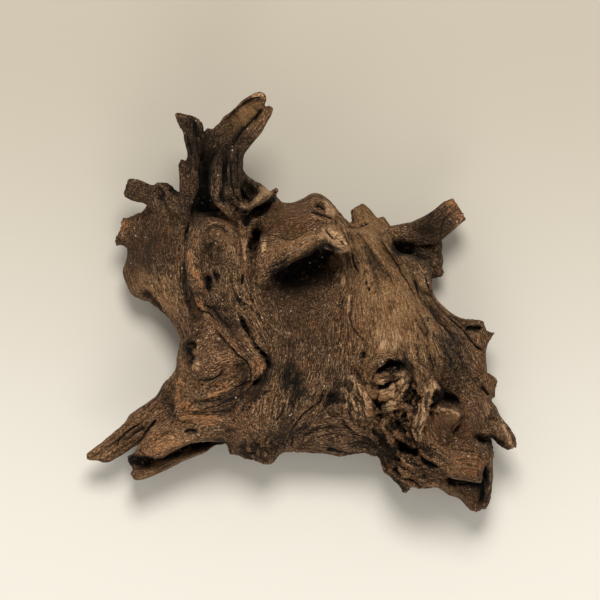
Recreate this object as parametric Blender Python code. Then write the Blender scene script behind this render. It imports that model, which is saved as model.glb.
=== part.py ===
"""Driftwood: one gnarled piece of root wood that lies on its back on a flat surface.

X runs to the right, Y up the piece and Z up from the surface. Outlines are drawn on a sketch grid of
square cells, with columns counted to the right and rows counted down. Heights are in millimetres.
"""

import bmesh
import bpy
import numpy as np
from mathutils import Matrix, Vector, noise

# Driving dimensions, in metres
LENGTH = 0.301            # from the tip of the left prong to the tip of the right spur
MILLIMETRE = 0.001
SKETCH_LENGTH = 430       # cells of the sketch grid over that length
SKETCH_CENTRE = (300, 302.5)
CELL = LENGTH / SKETCH_LENGTH

SLAB_GRAIN = 0.0026       # mesh spacing of a slab before it is given its thickness
SKIN_GRAIN = 0.0022       # mesh spacing of the skin that joins all the growth
SLAB_HALF = 0.008         # half thickness of a slab before it is given its heights
SLAB_SOFTNESS = 10 * CELL  # how far from its height points the surface of a slab is rounded
BODY_RIM = 20.0           # width over which the edge of the body rounds off, in millimetres
EDGE_START = 0.015        # share of a rim's width that its outermost points stand in from the edge
LIMB_SIDES = 14
TRIANGLES = 9400          # triangles of the finished piece
SMOOTHING_STEPS = 2
SMOOTHING_SHARE = 0.5
FLOOR_DEPTH = 0.03        # how far the cutter of the worn flats reaches down
FRONT_LIMIT = 0.15        # least upward slope of a surface that a fold on the front can shape
FRONT_POWER = 0.5         # how a fold fades as the surface turns away from the front
FOLD_END = 0.35           # share of its height that a fold has at its two ends
FOLD_SLOPE = 6            # how quickly a fold gains its full height from its ends

WOOD_COLOUR = (0.075, 0.047, 0.033, 1.0)
WOOD_ROUGHNESS = 0.75

# The body of the root, without its limbs, clockwise from the left shoulder
BODY_OUTLINE = [
    (143, 214), (160, 196), (180, 192), (200, 212), (226, 212), (246, 204), (268, 201), (290, 203),
    (304, 198), (313, 193), (325, 197), (338, 211), (350, 225), (372, 224), (388, 229), (400, 242),
    (414, 252), (428, 264), (431, 288), (441, 306), (461, 320), (478, 334), (485, 352), (487, 372),
    (492, 388), (489, 400), (494, 418), (490, 437), (492, 460), (490, 484), (478, 496), (462, 498),
    (445, 493), (428, 489), (410, 487), (394, 482), (384, 467), (376, 457), (350, 455), (315, 453),
    (292, 451), (280, 453), (272, 463), (262, 464), (252, 461), (240, 456), (229, 457), (225, 445),
    (200, 444), (172, 438), (156, 424), (152, 404), (166, 384), (177, 368), (182, 341), (174, 324),
    (159, 310), (147, 300), (133, 293), (124, 280), (121, 269), (127, 256), (125, 244), (119, 236),
    (124, 223),
]

# Column, row, underside height and top height of the body
BODY_HEIGHTS = [
    (128, 236, 14, 44), (150, 225, 4, 56), (140, 265, 8, 50), (162, 250, -3, 60), (150, 290, 10, 52),
    (172, 300, 10, 62), (172, 222, 6, 62), (186, 236, 8, 64), (187, 264, 8, 65), (187, 300, 10, 68),
    (212, 232, 8, 84), (208, 262, 10, 84), (204, 290, 10, 80), (231, 240, 10, 79), (238, 264, 10, 78),
    (250, 287, 12, 80), (266, 258, 12, 88), (255, 243, 12, 56), (275, 215, 10, 78), (300, 208, 12, 82),
    (318, 204, 12, 82), (290, 240, 12, 95), (312, 229, 12, 98), (334, 226, 12, 94), (290, 278, 14, 48),
    (305, 270, 14, 42), (322, 264, 14, 40), (338, 266, 12, 50), (278, 304, 14, 70), (305, 300, 14, 61),
    (330, 300, 12, 63), (310, 335, 12, 67), (285, 345, 12, 76), (335, 352, 12, 70), (300, 385, 12, 72),
    (330, 402, 10, 70), (353, 252, 10, 78), (362, 286, 8, 79), (352, 330, 10, 74), (372, 238, 4, 74),
    (397, 262, -5, 77), (385, 300, 4, 86), (412, 300, 6, 83), (400, 340, 8, 86), (430, 335, 8, 83),
    (455, 345, 10, 74), (440, 370, 10, 82), (470, 365, 12, 68), (480, 350, 14, 56), (215, 325, 12, 78),
    (245, 318, 12, 86), (258, 345, 12, 85), (212, 352, 12, 86), (232, 372, 12, 88), (260, 374, 12, 82),
    (205, 386, 10, 84), (232, 402, 8, 82), (190, 352, 12, 70), (185, 410, 0, 74), (166, 422, -6, 62),
    (200, 432, 4, 64), (250, 430, 8, 74), (265, 455, 14, 60), (300, 430, 8, 68), (345, 436, 8, 64),
    (230, 448, 12, 60), (388, 392, 10, 90), (362, 392, 10, 80), (410, 420, 8, 84), (425, 390, 10, 87),
    (385, 430, 8, 76), (445, 401, 10, 62), (446, 426, 6, 87), (478, 400, 10, 70), (468, 430, 4, 72),
    (460, 456, -2, 82), (440, 470, 0, 76), (420, 466, 4, 72), (476, 482, 0, 64), (400, 475, 10, 60),
]

# Thin sheets of torn wood: name, outline, (column, row, underside, top), rim width in millimetres
SHEETS = [
    ("upper_prong",
     [(184, 366), (165, 384), (150, 400), (128, 417), (115, 432), (100, 446), (81, 457), (86, 461),
      (97, 461), (104, 463), (110, 462), (125, 454), (138, 445), (150, 437), (176, 440), (200, 400)],
     [(195, 395, 22, 74), (165, 412, 22, 60), (150, 425, 24, 52), (125, 438, 26, 46), (98, 455, 28, 38)],
     9.0),
    ("front_flap",
     [(150, 428), (142, 440), (135, 453), (127, 462), (132, 462), (139, 457), (150, 456), (158, 459),
      (172, 454), (185, 446), (205, 442), (226, 440), (236, 415), (190, 410)],
     [(205, 425, 36, 68), (165, 440, 38, 60), (133, 460, 42, 48)],
     5.0),
    ("back_flap",
     [(160, 440), (138, 455), (133, 463), (136, 467), (130, 475), (134, 481), (140, 480), (155, 475),
      (170, 468), (185, 461), (200, 454), (213, 447), (232, 445), (230, 425)],
     [(215, 436, 22, 44), (170, 458, 22, 40), (138, 472, 24, 34)],
     5.0),
    ("flag",
     [(448, 330), (460, 318), (471, 320), (484, 321), (486, 327), (490, 334), (494, 332), (488, 344),
      (486, 348), (488, 373), (466, 372)],
     [(470, 345, 30, 46), (488, 334, 32, 40)],
     4.0),
    ("teeth",
     [(478, 372), (488, 373), (497, 380), (495, 393), (490, 399), (497, 407), (499, 415), (507, 428),
      (513, 438), (517, 446), (508, 451), (500, 448), (490, 437), (476, 440), (468, 400)],
     [(478, 395, 34, 66), (494, 425, 38, 60), (510, 445, 42, 54)],
     5.0),
    ("foot",
     [(436, 488), (452, 497), (461, 500), (470, 511), (478, 512), (485, 510), (489, 503), (492, 492),
      (493, 478), (491, 446), (470, 440), (445, 465)],
     [(470, 470, 6, 66), (476, 505, 16, 50)],
     9.0),
]

# Round growth: name, then (column, row, height of the middle, width, thickness), last three in millimetres
LIMBS = [
    ("left_horn",
     [(194, 238, 50, 20, 24), (191, 212, 60, 15, 22), (189, 188, 68, 15, 22), (190, 166, 75, 15, 19),
      (194, 148, 81, 13, 16), (194, 134, 85, 13, 12), (191, 123, 88, 12, 10), (183, 117, 90, 7, 7),
      (174, 114, 91, 3, 4)]),
    ("horn_web",
     [(206, 226, 34, 20, 22), (206, 200, 40, 18, 22), (206, 176, 48, 18, 20), (208, 160, 60, 22, 20),
      (208, 147, 70, 21, 16), (207, 137, 76, 14, 12), (207, 130, 79, 7, 6)]),
    ("horn_root",
     [(252, 226, 42, 34, 30), (242, 202, 48, 28, 28), (230, 180, 56, 20, 24), (226, 166, 62, 10, 14)]),
    ("big_horn",
     [(232, 212, 58, 20, 28), (224, 190, 64, 18, 24), (218, 170, 70, 16, 21), (216, 153, 77, 18, 17),
      (222, 139, 83, 16, 15), (233, 125, 90, 14, 13), (247, 109, 97, 13, 11), (258, 99, 102, 10, 8),
      (264, 94, 105, 4, 4)]),
    ("slim_horn",
     [(274, 200, 62, 10, 12), (258, 192, 68, 13, 18), (243, 179, 72, 14, 20), (235, 163, 76, 13, 19),
      (241, 147, 82, 12, 16), (252, 133, 88, 10, 12), (263, 118, 94, 7, 9), (270, 110, 98, 3, 4)]),
    ("finger_ridge",
     [(224, 151, 84, 4, 6), (217, 161, 82, 6, 10), (213, 177, 80, 8, 14), (216, 195, 78, 9, 16),
      (226, 208, 77, 9, 14), (238, 215, 75, 8, 12), (250, 214, 72, 6, 8)]),
    ("pale_strip",
     [(272, 192, 76, 4, 5), (260, 200, 78, 6, 8), (250, 209, 76, 6, 8), (244, 220, 72, 5, 8)]),
    ("left_stub",
     [(182, 212, 50, 24, 28), (162, 198, 52, 22, 24), (147, 192, 52, 15, 18), (135, 188, 52, 15, 14),
      (126, 187, 52, 10, 9)]),
    ("left_stub_hump",
     [(176, 210, 58, 18, 18), (170, 196, 60, 16, 14), (162, 187, 58, 9, 9)]),
    ("back_bump",
     [(375, 244, 36, 28, 28), (366, 226, 38, 20, 24), (361, 215, 38, 13, 16), (358, 210, 38, 6, 8)]),
    ("back_bump_shoulder",
     [(384, 240, 34, 14, 20), (381, 226, 34, 7, 10), (379, 220, 34, 4, 5)]),
    ("right_stub",
     [(385, 250, 38, 24, 30), (410, 241, 36, 26, 26), (428, 231, 35, 24, 20), (441, 221, 35, 21, 17),
      (452, 212, 35, 18, 14), (458, 208, 35, 14, 8)]),
    ("stub_web",
     [(415, 244, 32, 22, 22), (428, 256, 30, 16, 18), (437, 266, 28, 10, 12), (441, 273, 28, 4, 5)]),
    ("back_tab",
     [(392, 470, 32, 14, 14), (397, 482, 28, 9, 8), (403, 488, 26, 6, 7), (404, 494, 26, 3, 4)]),
    ("lip",
     [(250, 270, 74, 18, 18), (265, 266, 82, 17, 18), (280, 256, 89, 18, 18), (296, 246, 94, 18, 17),
      (312, 239, 97, 18, 16), (326, 237, 99, 19, 14), (337, 243, 100, 12, 11), (347, 248, 99, 5, 5)]),
    ("knot_rim",
     [(368, 424, 70, 18, 16), (361, 400, 76, 20, 18), (370, 382, 82, 16, 16), (392, 376, 87, 14, 14),
      (407, 385, 87, 11, 13), (406, 400, 82, 9, 12)]),
    ("knot_heart",
     [(378, 404, 84, 16, 12), (388, 396, 88, 18, 12), (398, 388, 87, 12, 10)]),
    ("pale_ridge",
     [(412, 362, 84, 8, 12), (419, 378, 90, 9, 14), (424, 400, 91, 8, 14), (418, 424, 88, 8, 12),
      (422, 442, 84, 7, 10)]),
    ("cone_lump",
     [(440, 440, 80, 18, 18), (441, 426, 88, 18, 16), (446, 414, 92, 14, 12), (456, 412, 92, 5, 5)]),
    ("corner_block",
     [(440, 462, 78, 26, 22), (460, 460, 84, 24, 16), (478, 462, 84, 16, 12), (486, 463, 83, 6, 6)]),
]

# Folds of the front: (column, row) points, width and height in millimetres; a groove is negative
FOLDS = [
    ([(186, 228), (184, 250), (186, 280), (188, 305)], 4.0, -3.0),
    ([(222, 250), (224, 270), (222, 292)], 3.5, -2.5),
    ([(238, 228), (236, 250), (240, 275), (246, 300)], 3.5, -2.5),
    ([(209, 262), (213, 276), (209, 290)], 2.5, -3.0),
    ([(240, 316), (249, 331), (258, 349), (269, 358), (270, 368), (262, 380), (252, 386)], 3.0, -3.5),
    ([(216, 330), (233, 350), (249, 362), (250, 374), (240, 386), (222, 397), (206, 401)], 3.0, -3.5),
    ([(205, 303), (225, 318), (242, 340), (258, 358), (258, 374)], 4.0, 2.5),
    ([(190, 346), (193, 364)], 4.0, -3.0),
    ([(276, 232), (292, 238), (305, 232)], 2.5, -2.0),
    ([(314, 207), (330, 214), (337, 222)], 3.0, -3.0),
    ([(350, 228), (360, 250), (372, 285), (378, 315)], 4.0, 2.0),
    ([(370, 236), (398, 268), (424, 300), (446, 322), (466, 342)], 4.0, -2.0),
    ([(352, 310), (350, 328), (358, 336), (368, 346)], 3.0, -2.5),
    ([(382, 370), (392, 364), (403, 364)], 4.0, -5.0),
    ([(413, 384), (411, 398), (408, 410)], 2.6, -5.0),
    ([(434, 396), (440, 400), (455, 402)], 5.0, -4.0),
    ([(458, 415), (450, 430), (446, 448)], 3.0, -4.0),
    ([(400, 448), (410, 449), (420, 453)], 3.5, -4.0),
    ([(450, 479), (466, 481), (482, 483)], 3.0, -3.0),
]

# Rough growth over the whole surface: size and height of its waves, in millimetres
ROUGHNESS_WAVES = [(38.0, 1.3), (15.0, 0.7)]


def clear_scene():
    for thing in list(bpy.data.objects):
        bpy.data.objects.remove(thing, do_unlink=True)


def place(column, row, height):
    """Give the point of a sketch cell at a height in millimetres."""
    x = (column - SKETCH_CENTRE[0]) * CELL
    y = (SKETCH_CENTRE[1] - row) * CELL
    return Vector((x, y, height * MILLIMETRE))


def object_from(name, mesh):
    thing = bpy.data.objects.new(name, mesh)
    bpy.context.scene.collection.objects.link(thing)
    return thing


def mesh_from(name, shape):
    """Turn a bmesh into a mesh with its faces pointing out."""
    bmesh.ops.recalc_face_normals(shape, faces=shape.faces)
    mesh = bpy.data.meshes.new(name)
    shape.to_mesh(mesh)
    shape.free()
    return mesh


def shaped(name, mesh, modifiers):
    """Give the mesh that a list of modifiers makes of a mesh."""
    thing = object_from(name, mesh)
    for kind, settings in modifiers:
        modifier = thing.modifiers.new(kind.lower(), kind)
        for setting, value in settings.items():
            setattr(modifier, setting, value)
    settled = thing.evaluated_get(bpy.context.evaluated_depsgraph_get())
    result = bpy.data.meshes.new_from_object(settled)
    bpy.data.objects.remove(thing, do_unlink=True)
    return result


def points_of(mesh):
    points = np.empty(len(mesh.vertices) * 3, dtype=np.float32)
    mesh.vertices.foreach_get("co", points)
    return points.reshape(-1, 3).astype(float)


def normals_of(mesh):
    normals = np.empty(len(mesh.vertices) * 3, dtype=np.float32)
    mesh.vertices.foreach_get("normal", normals)
    return normals.reshape(-1, 3).astype(float)


def move_points(mesh, points):
    mesh.vertices.foreach_set("co", points.astype(np.float32).ravel())
    mesh.update()


def distance_to_path(flat_points, path, closed):
    """Give each point's distance to a path in the XY plane, and how far along the path it is."""
    ends = path[1:] + path[:1] if closed else path[1:]
    nearest = np.full(len(flat_points), np.inf)
    along = np.zeros(len(flat_points))
    for number, (start, end) in enumerate(zip(path, ends)):
        start = np.array(place(*start, 0)[:2])
        step = np.array(place(*end, 0)[:2]) - start
        share = np.clip((flat_points - start) @ step / (step @ step), 0, 1)
        distance = np.linalg.norm(flat_points - start - share[:, None] * step, axis=1)
        closer = distance < nearest
        nearest[closer] = distance[closer]
        along[closer] = number + share[closer]
    return nearest, along / len(ends)


def height_surface(flat_points, table, level):
    """Carry a smooth surface through the heights of a table, and read it at each point."""
    knots = np.array([place(column, row, 0)[:2] for column, row, *_ in table])
    heights = np.array([entry[2 + level] for entry in table]) * MILLIMETRE
    average = heights.mean()
    between = np.linalg.norm(knots[:, None] - knots[None], axis=2)
    weights = np.linalg.solve(np.hypot(between, SLAB_SOFTNESS), heights - average)
    away = np.linalg.norm(flat_points[:, None] - knots[None], axis=2)
    return average + np.hypot(away, SLAB_SOFTNESS) @ weights


def slab(name, outline, table, rim):
    """Grow a round-edged slab inside an outline, between its underside and its top heights."""
    shape = bmesh.new()
    base = shape.faces.new([shape.verts.new(place(*cell, 0) - Vector((0, 0, SLAB_HALF))) for cell in outline])
    grown = bmesh.ops.extrude_face_region(shape, geom=[base])["geom"]
    risen = [part for part in grown if isinstance(part, bmesh.types.BMVert)]
    bmesh.ops.translate(shape, verts=risen, vec=(0, 0, 2 * SLAB_HALF))
    even_mesh = ("REMESH", {"mode": "VOXEL", "voxel_size": SLAB_GRAIN, "adaptivity": 0.0})
    mesh = shaped(name, mesh_from(name, shape), [even_mesh])
    points = points_of(mesh)
    flat_points = points[:, :2]
    edge_distance, _ = distance_to_path(flat_points, outline, closed=True)
    underside = height_surface(flat_points, table, 0)
    top = height_surface(flat_points, table, 1)
    inward = np.clip(edge_distance / (rim * MILLIMETRE), EDGE_START, 1)
    fullness = np.sqrt(1 - (1 - inward) ** 2)
    rise = np.clip(points[:, 2] / SLAB_HALF, -1, 1)
    middle = (underside + top) / 2
    points[:, 2] = middle + (top - underside) / 2 * fullness * rise
    move_points(mesh, points)
    return mesh


def limb(name, stations):
    """Grow a closed limb through its stations, each an oval across the way the limb runs."""
    shape = bmesh.new()
    bmesh.ops.create_circle(shape, cap_ends=True, segments=LIMB_SIDES, radius=0.5)
    end = shape.faces[:][0]
    oval = [corner.co.copy() for corner in end.verts]
    centres = [place(*station[:3]) for station in stations]
    for number, (_, _, _, width, thickness) in enumerate(stations):
        before = centres[max(number - 1, 0)]
        after = centres[min(number + 1, len(centres) - 1)]
        along = (after - before).normalized()
        across = along.cross(Vector((0, 0, 1))).normalized()
        upward = across.cross(along).normalized()
        if number:
            grown = bmesh.ops.extrude_face_region(shape, geom=[end])["geom"]
            end = [part for part in grown if isinstance(part, bmesh.types.BMFace)][0]
        for corner, spot in zip(end.verts, oval):
            sideways = across * (spot.x * width * MILLIMETRE)
            corner.co = centres[number] + sideways + upward * (spot.y * thickness * MILLIMETRE)
    return mesh_from(name, shape)


def joined(name, meshes):
    """Put several closed shapes into one mesh, still apart."""
    shape = bmesh.new()
    for mesh in meshes:
        shape.from_mesh(mesh)
    mesh = bpy.data.meshes.new(name)
    shape.to_mesh(mesh)
    shape.free()
    return mesh


def press_folds(mesh):
    """Raise and sink the folds of the front."""
    points = points_of(mesh)
    normals = normals_of(mesh)
    facing = np.clip((normals[:, 2] - FRONT_LIMIT) / (1 - FRONT_LIMIT), 0, 1) ** FRONT_POWER
    rise = np.zeros(len(points))
    for path, width, height in FOLDS:
        distance, along = distance_to_path(points[:, :2], path, closed=False)
        taper = np.clip(np.minimum(along, 1 - along) * FOLD_SLOPE + FOLD_END, 0, 1)
        rise += height * taper * np.exp(-(distance / (width * MILLIMETRE)) ** 2)
    move_points(mesh, points + normals * (rise * facing * MILLIMETRE)[:, None])


def roughen(mesh):
    """Give the whole surface slow, uneven growth."""
    points = points_of(mesh)
    normals = normals_of(mesh)
    rise = np.zeros(len(points))
    for size, height in ROUGHNESS_WAVES:
        spots = points / (size * MILLIMETRE)
        rise += height * np.array([noise.noise(Vector(spot)) for spot in spots])
    move_points(mesh, points + normals * (rise * MILLIMETRE)[:, None])


def wood_material():
    """Dark, weathered root wood."""
    material = bpy.data.materials.new("weathered_wood")
    material.use_nodes = True
    shader = material.node_tree.nodes["Principled BSDF"]
    shader.inputs["Base Color"].default_value = WOOD_COLOUR
    shader.inputs["Roughness"].default_value = WOOD_ROUGHNESS
    shader.inputs["Metallic"].default_value = 0.0
    return material


def floor_cutter():
    """Make the block that wears the undersides flat where the piece rests."""
    shape = bmesh.new()
    bmesh.ops.create_cube(shape, size=1.0)
    bmesh.ops.scale(shape, verts=shape.verts, vec=(2 * LENGTH, 2 * LENGTH, FLOOR_DEPTH))
    bmesh.ops.translate(shape, verts=shape.verts, vec=(0, 0, -FLOOR_DEPTH / 2))
    cutter = object_from("floor_cutter", mesh_from("floor_cutter", shape))
    cutter.hide_render = True
    cutter.display_type = "WIRE"
    return cutter


def driftwood():
    growth = [slab("body", BODY_OUTLINE, BODY_HEIGHTS, BODY_RIM)]
    growth += [slab(*sheet) for sheet in SHEETS]
    growth += [limb(name, stations) for name, stations in LIMBS]
    one_skin = ("REMESH", {"mode": "VOXEL", "voxel_size": SKIN_GRAIN, "adaptivity": 0.0})
    soften = ("SMOOTH", {"factor": SMOOTHING_SHARE, "iterations": SMOOTHING_STEPS})
    skin = shaped("skin", joined("growth", growth), [one_skin, soften])
    roughen(skin)
    press_folds(skin)
    ratio = TRIANGLES / (2 * len(skin.polygons))
    mesh = shaped("skin", skin, [("DECIMATE", {"ratio": ratio, "use_collapse_triangulate": True})])
    points = points_of(mesh)
    middle = (points.min(axis=0) + points.max(axis=0)) / 2
    mesh.transform(Matrix.Translation((-middle[0], -middle[1], 0)))
    mesh.name = "driftwood"
    mesh.shade_smooth()
    mesh.materials.append(wood_material())
    piece = object_from("driftwood", mesh)
    worn_flats = piece.modifiers.new("worn_flats", "BOOLEAN")
    worn_flats.operation = "DIFFERENCE"
    worn_flats.solver = "EXACT"
    worn_flats.object = floor_cutter()


clear_scene()
driftwood()
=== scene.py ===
"""Driftwood: a gnarled piece of root wood, lying on its back under soft studio light.

Outlines, paths and spots are drawn on a sketch grid of square cells over the piece, seen from above:
columns are counted to the right and rows down. Heights, widths and thicknesses are in millimetres.
A path is written as "column,row column,row", and a table of heights has them after each column and row.
"""

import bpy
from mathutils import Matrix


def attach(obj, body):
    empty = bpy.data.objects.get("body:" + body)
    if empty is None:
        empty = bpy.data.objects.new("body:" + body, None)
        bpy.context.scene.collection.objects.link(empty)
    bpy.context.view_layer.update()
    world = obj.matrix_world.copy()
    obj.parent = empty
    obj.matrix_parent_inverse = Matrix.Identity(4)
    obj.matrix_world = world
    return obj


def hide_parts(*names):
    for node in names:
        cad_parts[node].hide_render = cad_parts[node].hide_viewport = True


bl_info = {
    "name": "Driftwood",
    "version": (1, 0, 0),
    "blender": (4, 5, 0),
    "location": "View3D > Sidebar > Driftwood",
    "description": "Grows a gnarled piece of root driftwood and sets it under soft studio light",
    "category": "Add Mesh",
}

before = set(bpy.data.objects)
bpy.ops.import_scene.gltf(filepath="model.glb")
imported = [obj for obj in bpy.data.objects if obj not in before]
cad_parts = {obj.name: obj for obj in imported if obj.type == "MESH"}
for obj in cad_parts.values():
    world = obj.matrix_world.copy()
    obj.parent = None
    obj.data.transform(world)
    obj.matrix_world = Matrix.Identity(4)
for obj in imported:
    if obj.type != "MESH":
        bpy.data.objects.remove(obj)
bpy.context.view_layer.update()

import math
from itertools import product

import bmesh
import bpy
import numpy as np
from bpy.props import FloatProperty, IntProperty, PointerProperty, StringProperty
from mathutils import Vector

MILLIMETRE = 0.001
SKETCH_LENGTH = 430                # cells over the length of the piece
SKETCH_CENTRE = (300, 302.5)
CELL = 0.301 / SKETCH_LENGTH       # metres
PICTURE_CELLS = 600                # cells over the width of the picture, and over its height
SHARP_HEIGHT = 0.06                # metres up, where the picture is to the sketch's scale

BODY_RIM = 20                      # width over which the body rounds off to its outline
LIMB_SIDES = 24
RING_POINTS = 13                   # points of the closed grain line about a knot
SLAB_HALF = 0.008                  # half thickness of a slab before it is given its heights
LEAST_INWARD = 0.015               # share of the rim at which a slab's edge starts, so that it isn't sharp
SURFACE_SOFTNESS = 10              # cells, over which a surface of heights rounds off its peaks
FIRST_SKIN = 1.1                   # mesh spacing of the first skin, as a share of the last one's
SWELL = 0.2                        # height that the skin swells all over
LUMPS = [(1.1, 0, 38, 1), (0.6, 0, 15, 2), (0.25, 1.3, 7, 6)]  # height, more where torn, size, seed

# Raised grain: width, length, seed, then its height all over, more where ragged and more where torn
FIBRES = [(6, 70, 3, 0.3, 0.2, 0.4), (2.8, 34, 4, 0.1, 0.08, 0.2), (1.6, 18, 5, 0.05, 0, 0.1)]
RAGGED_SIZE = 30                   # width of a ragged stretch of wood, and how sharply it ends
RAGGED_CONTRAST = 0.8
SEAMS = (4.5, 60, 11)              # width, length, seed
SEAM_WIDTH = 0.1                   # share of that width which the split between two fibres takes
SEAM_DEPTH = 0.9
# The split is darkened as painted shade with some dirt.
SEAM_SHADE_AND_DIRT = 0.6                    # darkness of a split, where a crack has 1
TATTERS = (3.4, 20, 12)            # width, length, seed
TATTER_HEIGHT = 1.5
TATTER_LEVEL = 0.8                 # where the tatters stand neither up nor down
PLATES = (9.0, 50, 13)             # width, length, seed
PLATE_CROWDING = 1.3               # plates to each spread of the noise that lays them
PLATE_EDGE = 0.2                   # share of a plate that its steep edge takes
PLATE_HEIGHT = 0.8
TORN_PLATE_HEIGHT = 1.4
WORN_AWAY = 0.6                    # share of the grain's height that is gone where the wood is smooth
UNDERSIDE = -0.3                   # upward part of a normal below which the skin is underside
UNDERSIDE_HEIGHT = 0.3             # share of the grain's height there
STEEPEST = 0.1                     # upward part of a normal below which nothing is carved

# How far an outline wanders in metres, width of a wave in millimetres, seeds
HOLE_FRAYS = [(0.0011, 5, (16, 17))]
PATCH_FRAYS = [(0.0022, 7, (8, 9)), (0.0015, 2.5, (14, 15))]

FADE_RATE = 5                      # a stroke fades over the fifth of its path at either end,
FADE_START = 0.3                   # from this share of its height
CRACK_TIGHTNESS = 2.2              # how much narrower a crack is than a fold of the same width
DARKEST_CRACK = 3                  # depth at which a crack is as dark as they get
LEDGE_DIP = 0.4                    # how far the low side of a ledge sinks, as a share of its rise
HOLLOW_ROUNDS = 8                  # times that the skin is evened to find its hollows
CRACK_MARGIN = 0.0009              # metres beside a crack where the faces are split

FLOW_CELL = 0.0025                 # metres, cell of the box that holds the directions of the grain
FLOW_SPREAD = 9                    # cells about a grain line that follow it
FLOW_TAIL = 1e-4                   # pull of a grain line on the wood far from it
FIBRE_STRIDE = 0.6                 # step along the grain, as a share of a fibre's width
FLAT_WAYS = 12                     # directions in the plane that the fine streaks are drawn in
WAY_SHARPNESS = 60                 # how fast a streak gives way to the next direction's
WAY_MARKS = math.ceil((FLAT_WAYS + 1) / 3)  # attributes that hold the flat ways and the upright one
STREAK_SHIFT = (0.1, 0.03, 0)      # metres between the noise of one seed and the next
STREAK_ROUGHNESS = 0.6


def groups(text):
    """Read the groups of numbers of a path or a table."""
    return [tuple(float(number) for number in cell.split(",")) for cell in text.split()]


# The body of the root, without its limbs, clockwise from the left shoulder
BODY_OUTLINE = groups(
    "141,212 148,203 160,196 180,192 200,212 226,212 246,204 268,201 285,203 293,203 300,200 305,198 "
    "308,195 313,193 320,194 325,197 330,201 334,206 338,211 342,217 350,225 372,224 386,229 391,238 "
    "393,247 399,254 411,256 420,259 428,264 430,279 431,291 435,299 441,306 449,313 461,320 478,334 "
    "485,352 487,372 492,388 489,400 494,418 490,437 492,460 490,484 478,496 462,498 452,497 445,493 "
    "437,488 428,489 418,488 410,487 394,482 384,474 381,464 376,457 365,454 350,455 340,457 330,455 "
    "315,453 305,452 298,452 288,451 280,453 275,459 271,464 262,464 258,460 250,461 245,459 240,456 "
    "229,457 227,450 225,443 200,442 172,438 156,424 152,404 166,384 177,368 178,358 182,341 179,333 "
    "174,324 164,314 158,309 147,300 141,299 132,295 126,286 122,278 120,270 124,262 126,256 126,249 "
    "124,244 119,238 120,231 124,223 133,217")

# Column, row, underside height and top height of the body
BODY_HEIGHTS = groups(
    "128,236,14,44 150,225,4,56 140,265,8,50 162,250,-3,60 150,290,10,52 172,300,10,60 172,222,6,62 "
    "182,236,8,64 182,264,8,64 184,300,10,66 212,232,8,78 208,262,10,80 204,290,10,78 231,240,10,77 "
    "238,264,10,76 250,287,12,80 266,256,12,84 255,243,12,60 275,215,10,78 300,208,12,82 318,204,12,84 "
    "290,228,12,86 312,224,12,90 334,222,12,88 285,250,14,52 305,245,14,44 325,242,14,46 290,278,14,40 "
    "305,270,14,34 322,264,14,34 338,262,12,46 278,304,14,72 305,300,14,58 330,300,12,61 310,335,12,67 "
    "285,345,12,76 335,352,12,70 300,385,12,72 330,402,10,70 353,252,10,78 362,286,8,79 352,330,10,74 "
    "372,238,4,74 397,262,-5,77 385,300,4,86 412,300,6,83 400,340,8,86 430,335,8,83 455,345,10,74 "
    "440,370,10,80 470,365,12,68 480,350,14,56 215,325,12,78 245,318,12,84 258,345,12,85 212,352,12,84 "
    "232,372,12,84 264,374,12,80 205,386,10,84 232,402,8,82 186,352,12,68 185,410,0,74 164,404,-6,58 "
    "200,432,4,62 250,430,8,74 265,455,14,58 300,430,8,68 345,436,8,64 230,448,12,58 388,392,10,77 "
    "360,394,10,72 410,420,8,77 425,392,10,79 384,428,8,69 445,399,10,58 446,426,6,76 478,402,10,74 "
    "466,418,4,80 468,434,4,79 460,456,-2,76 440,470,0,70 420,466,4,72 476,490,0,58 400,475,10,60")

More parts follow.
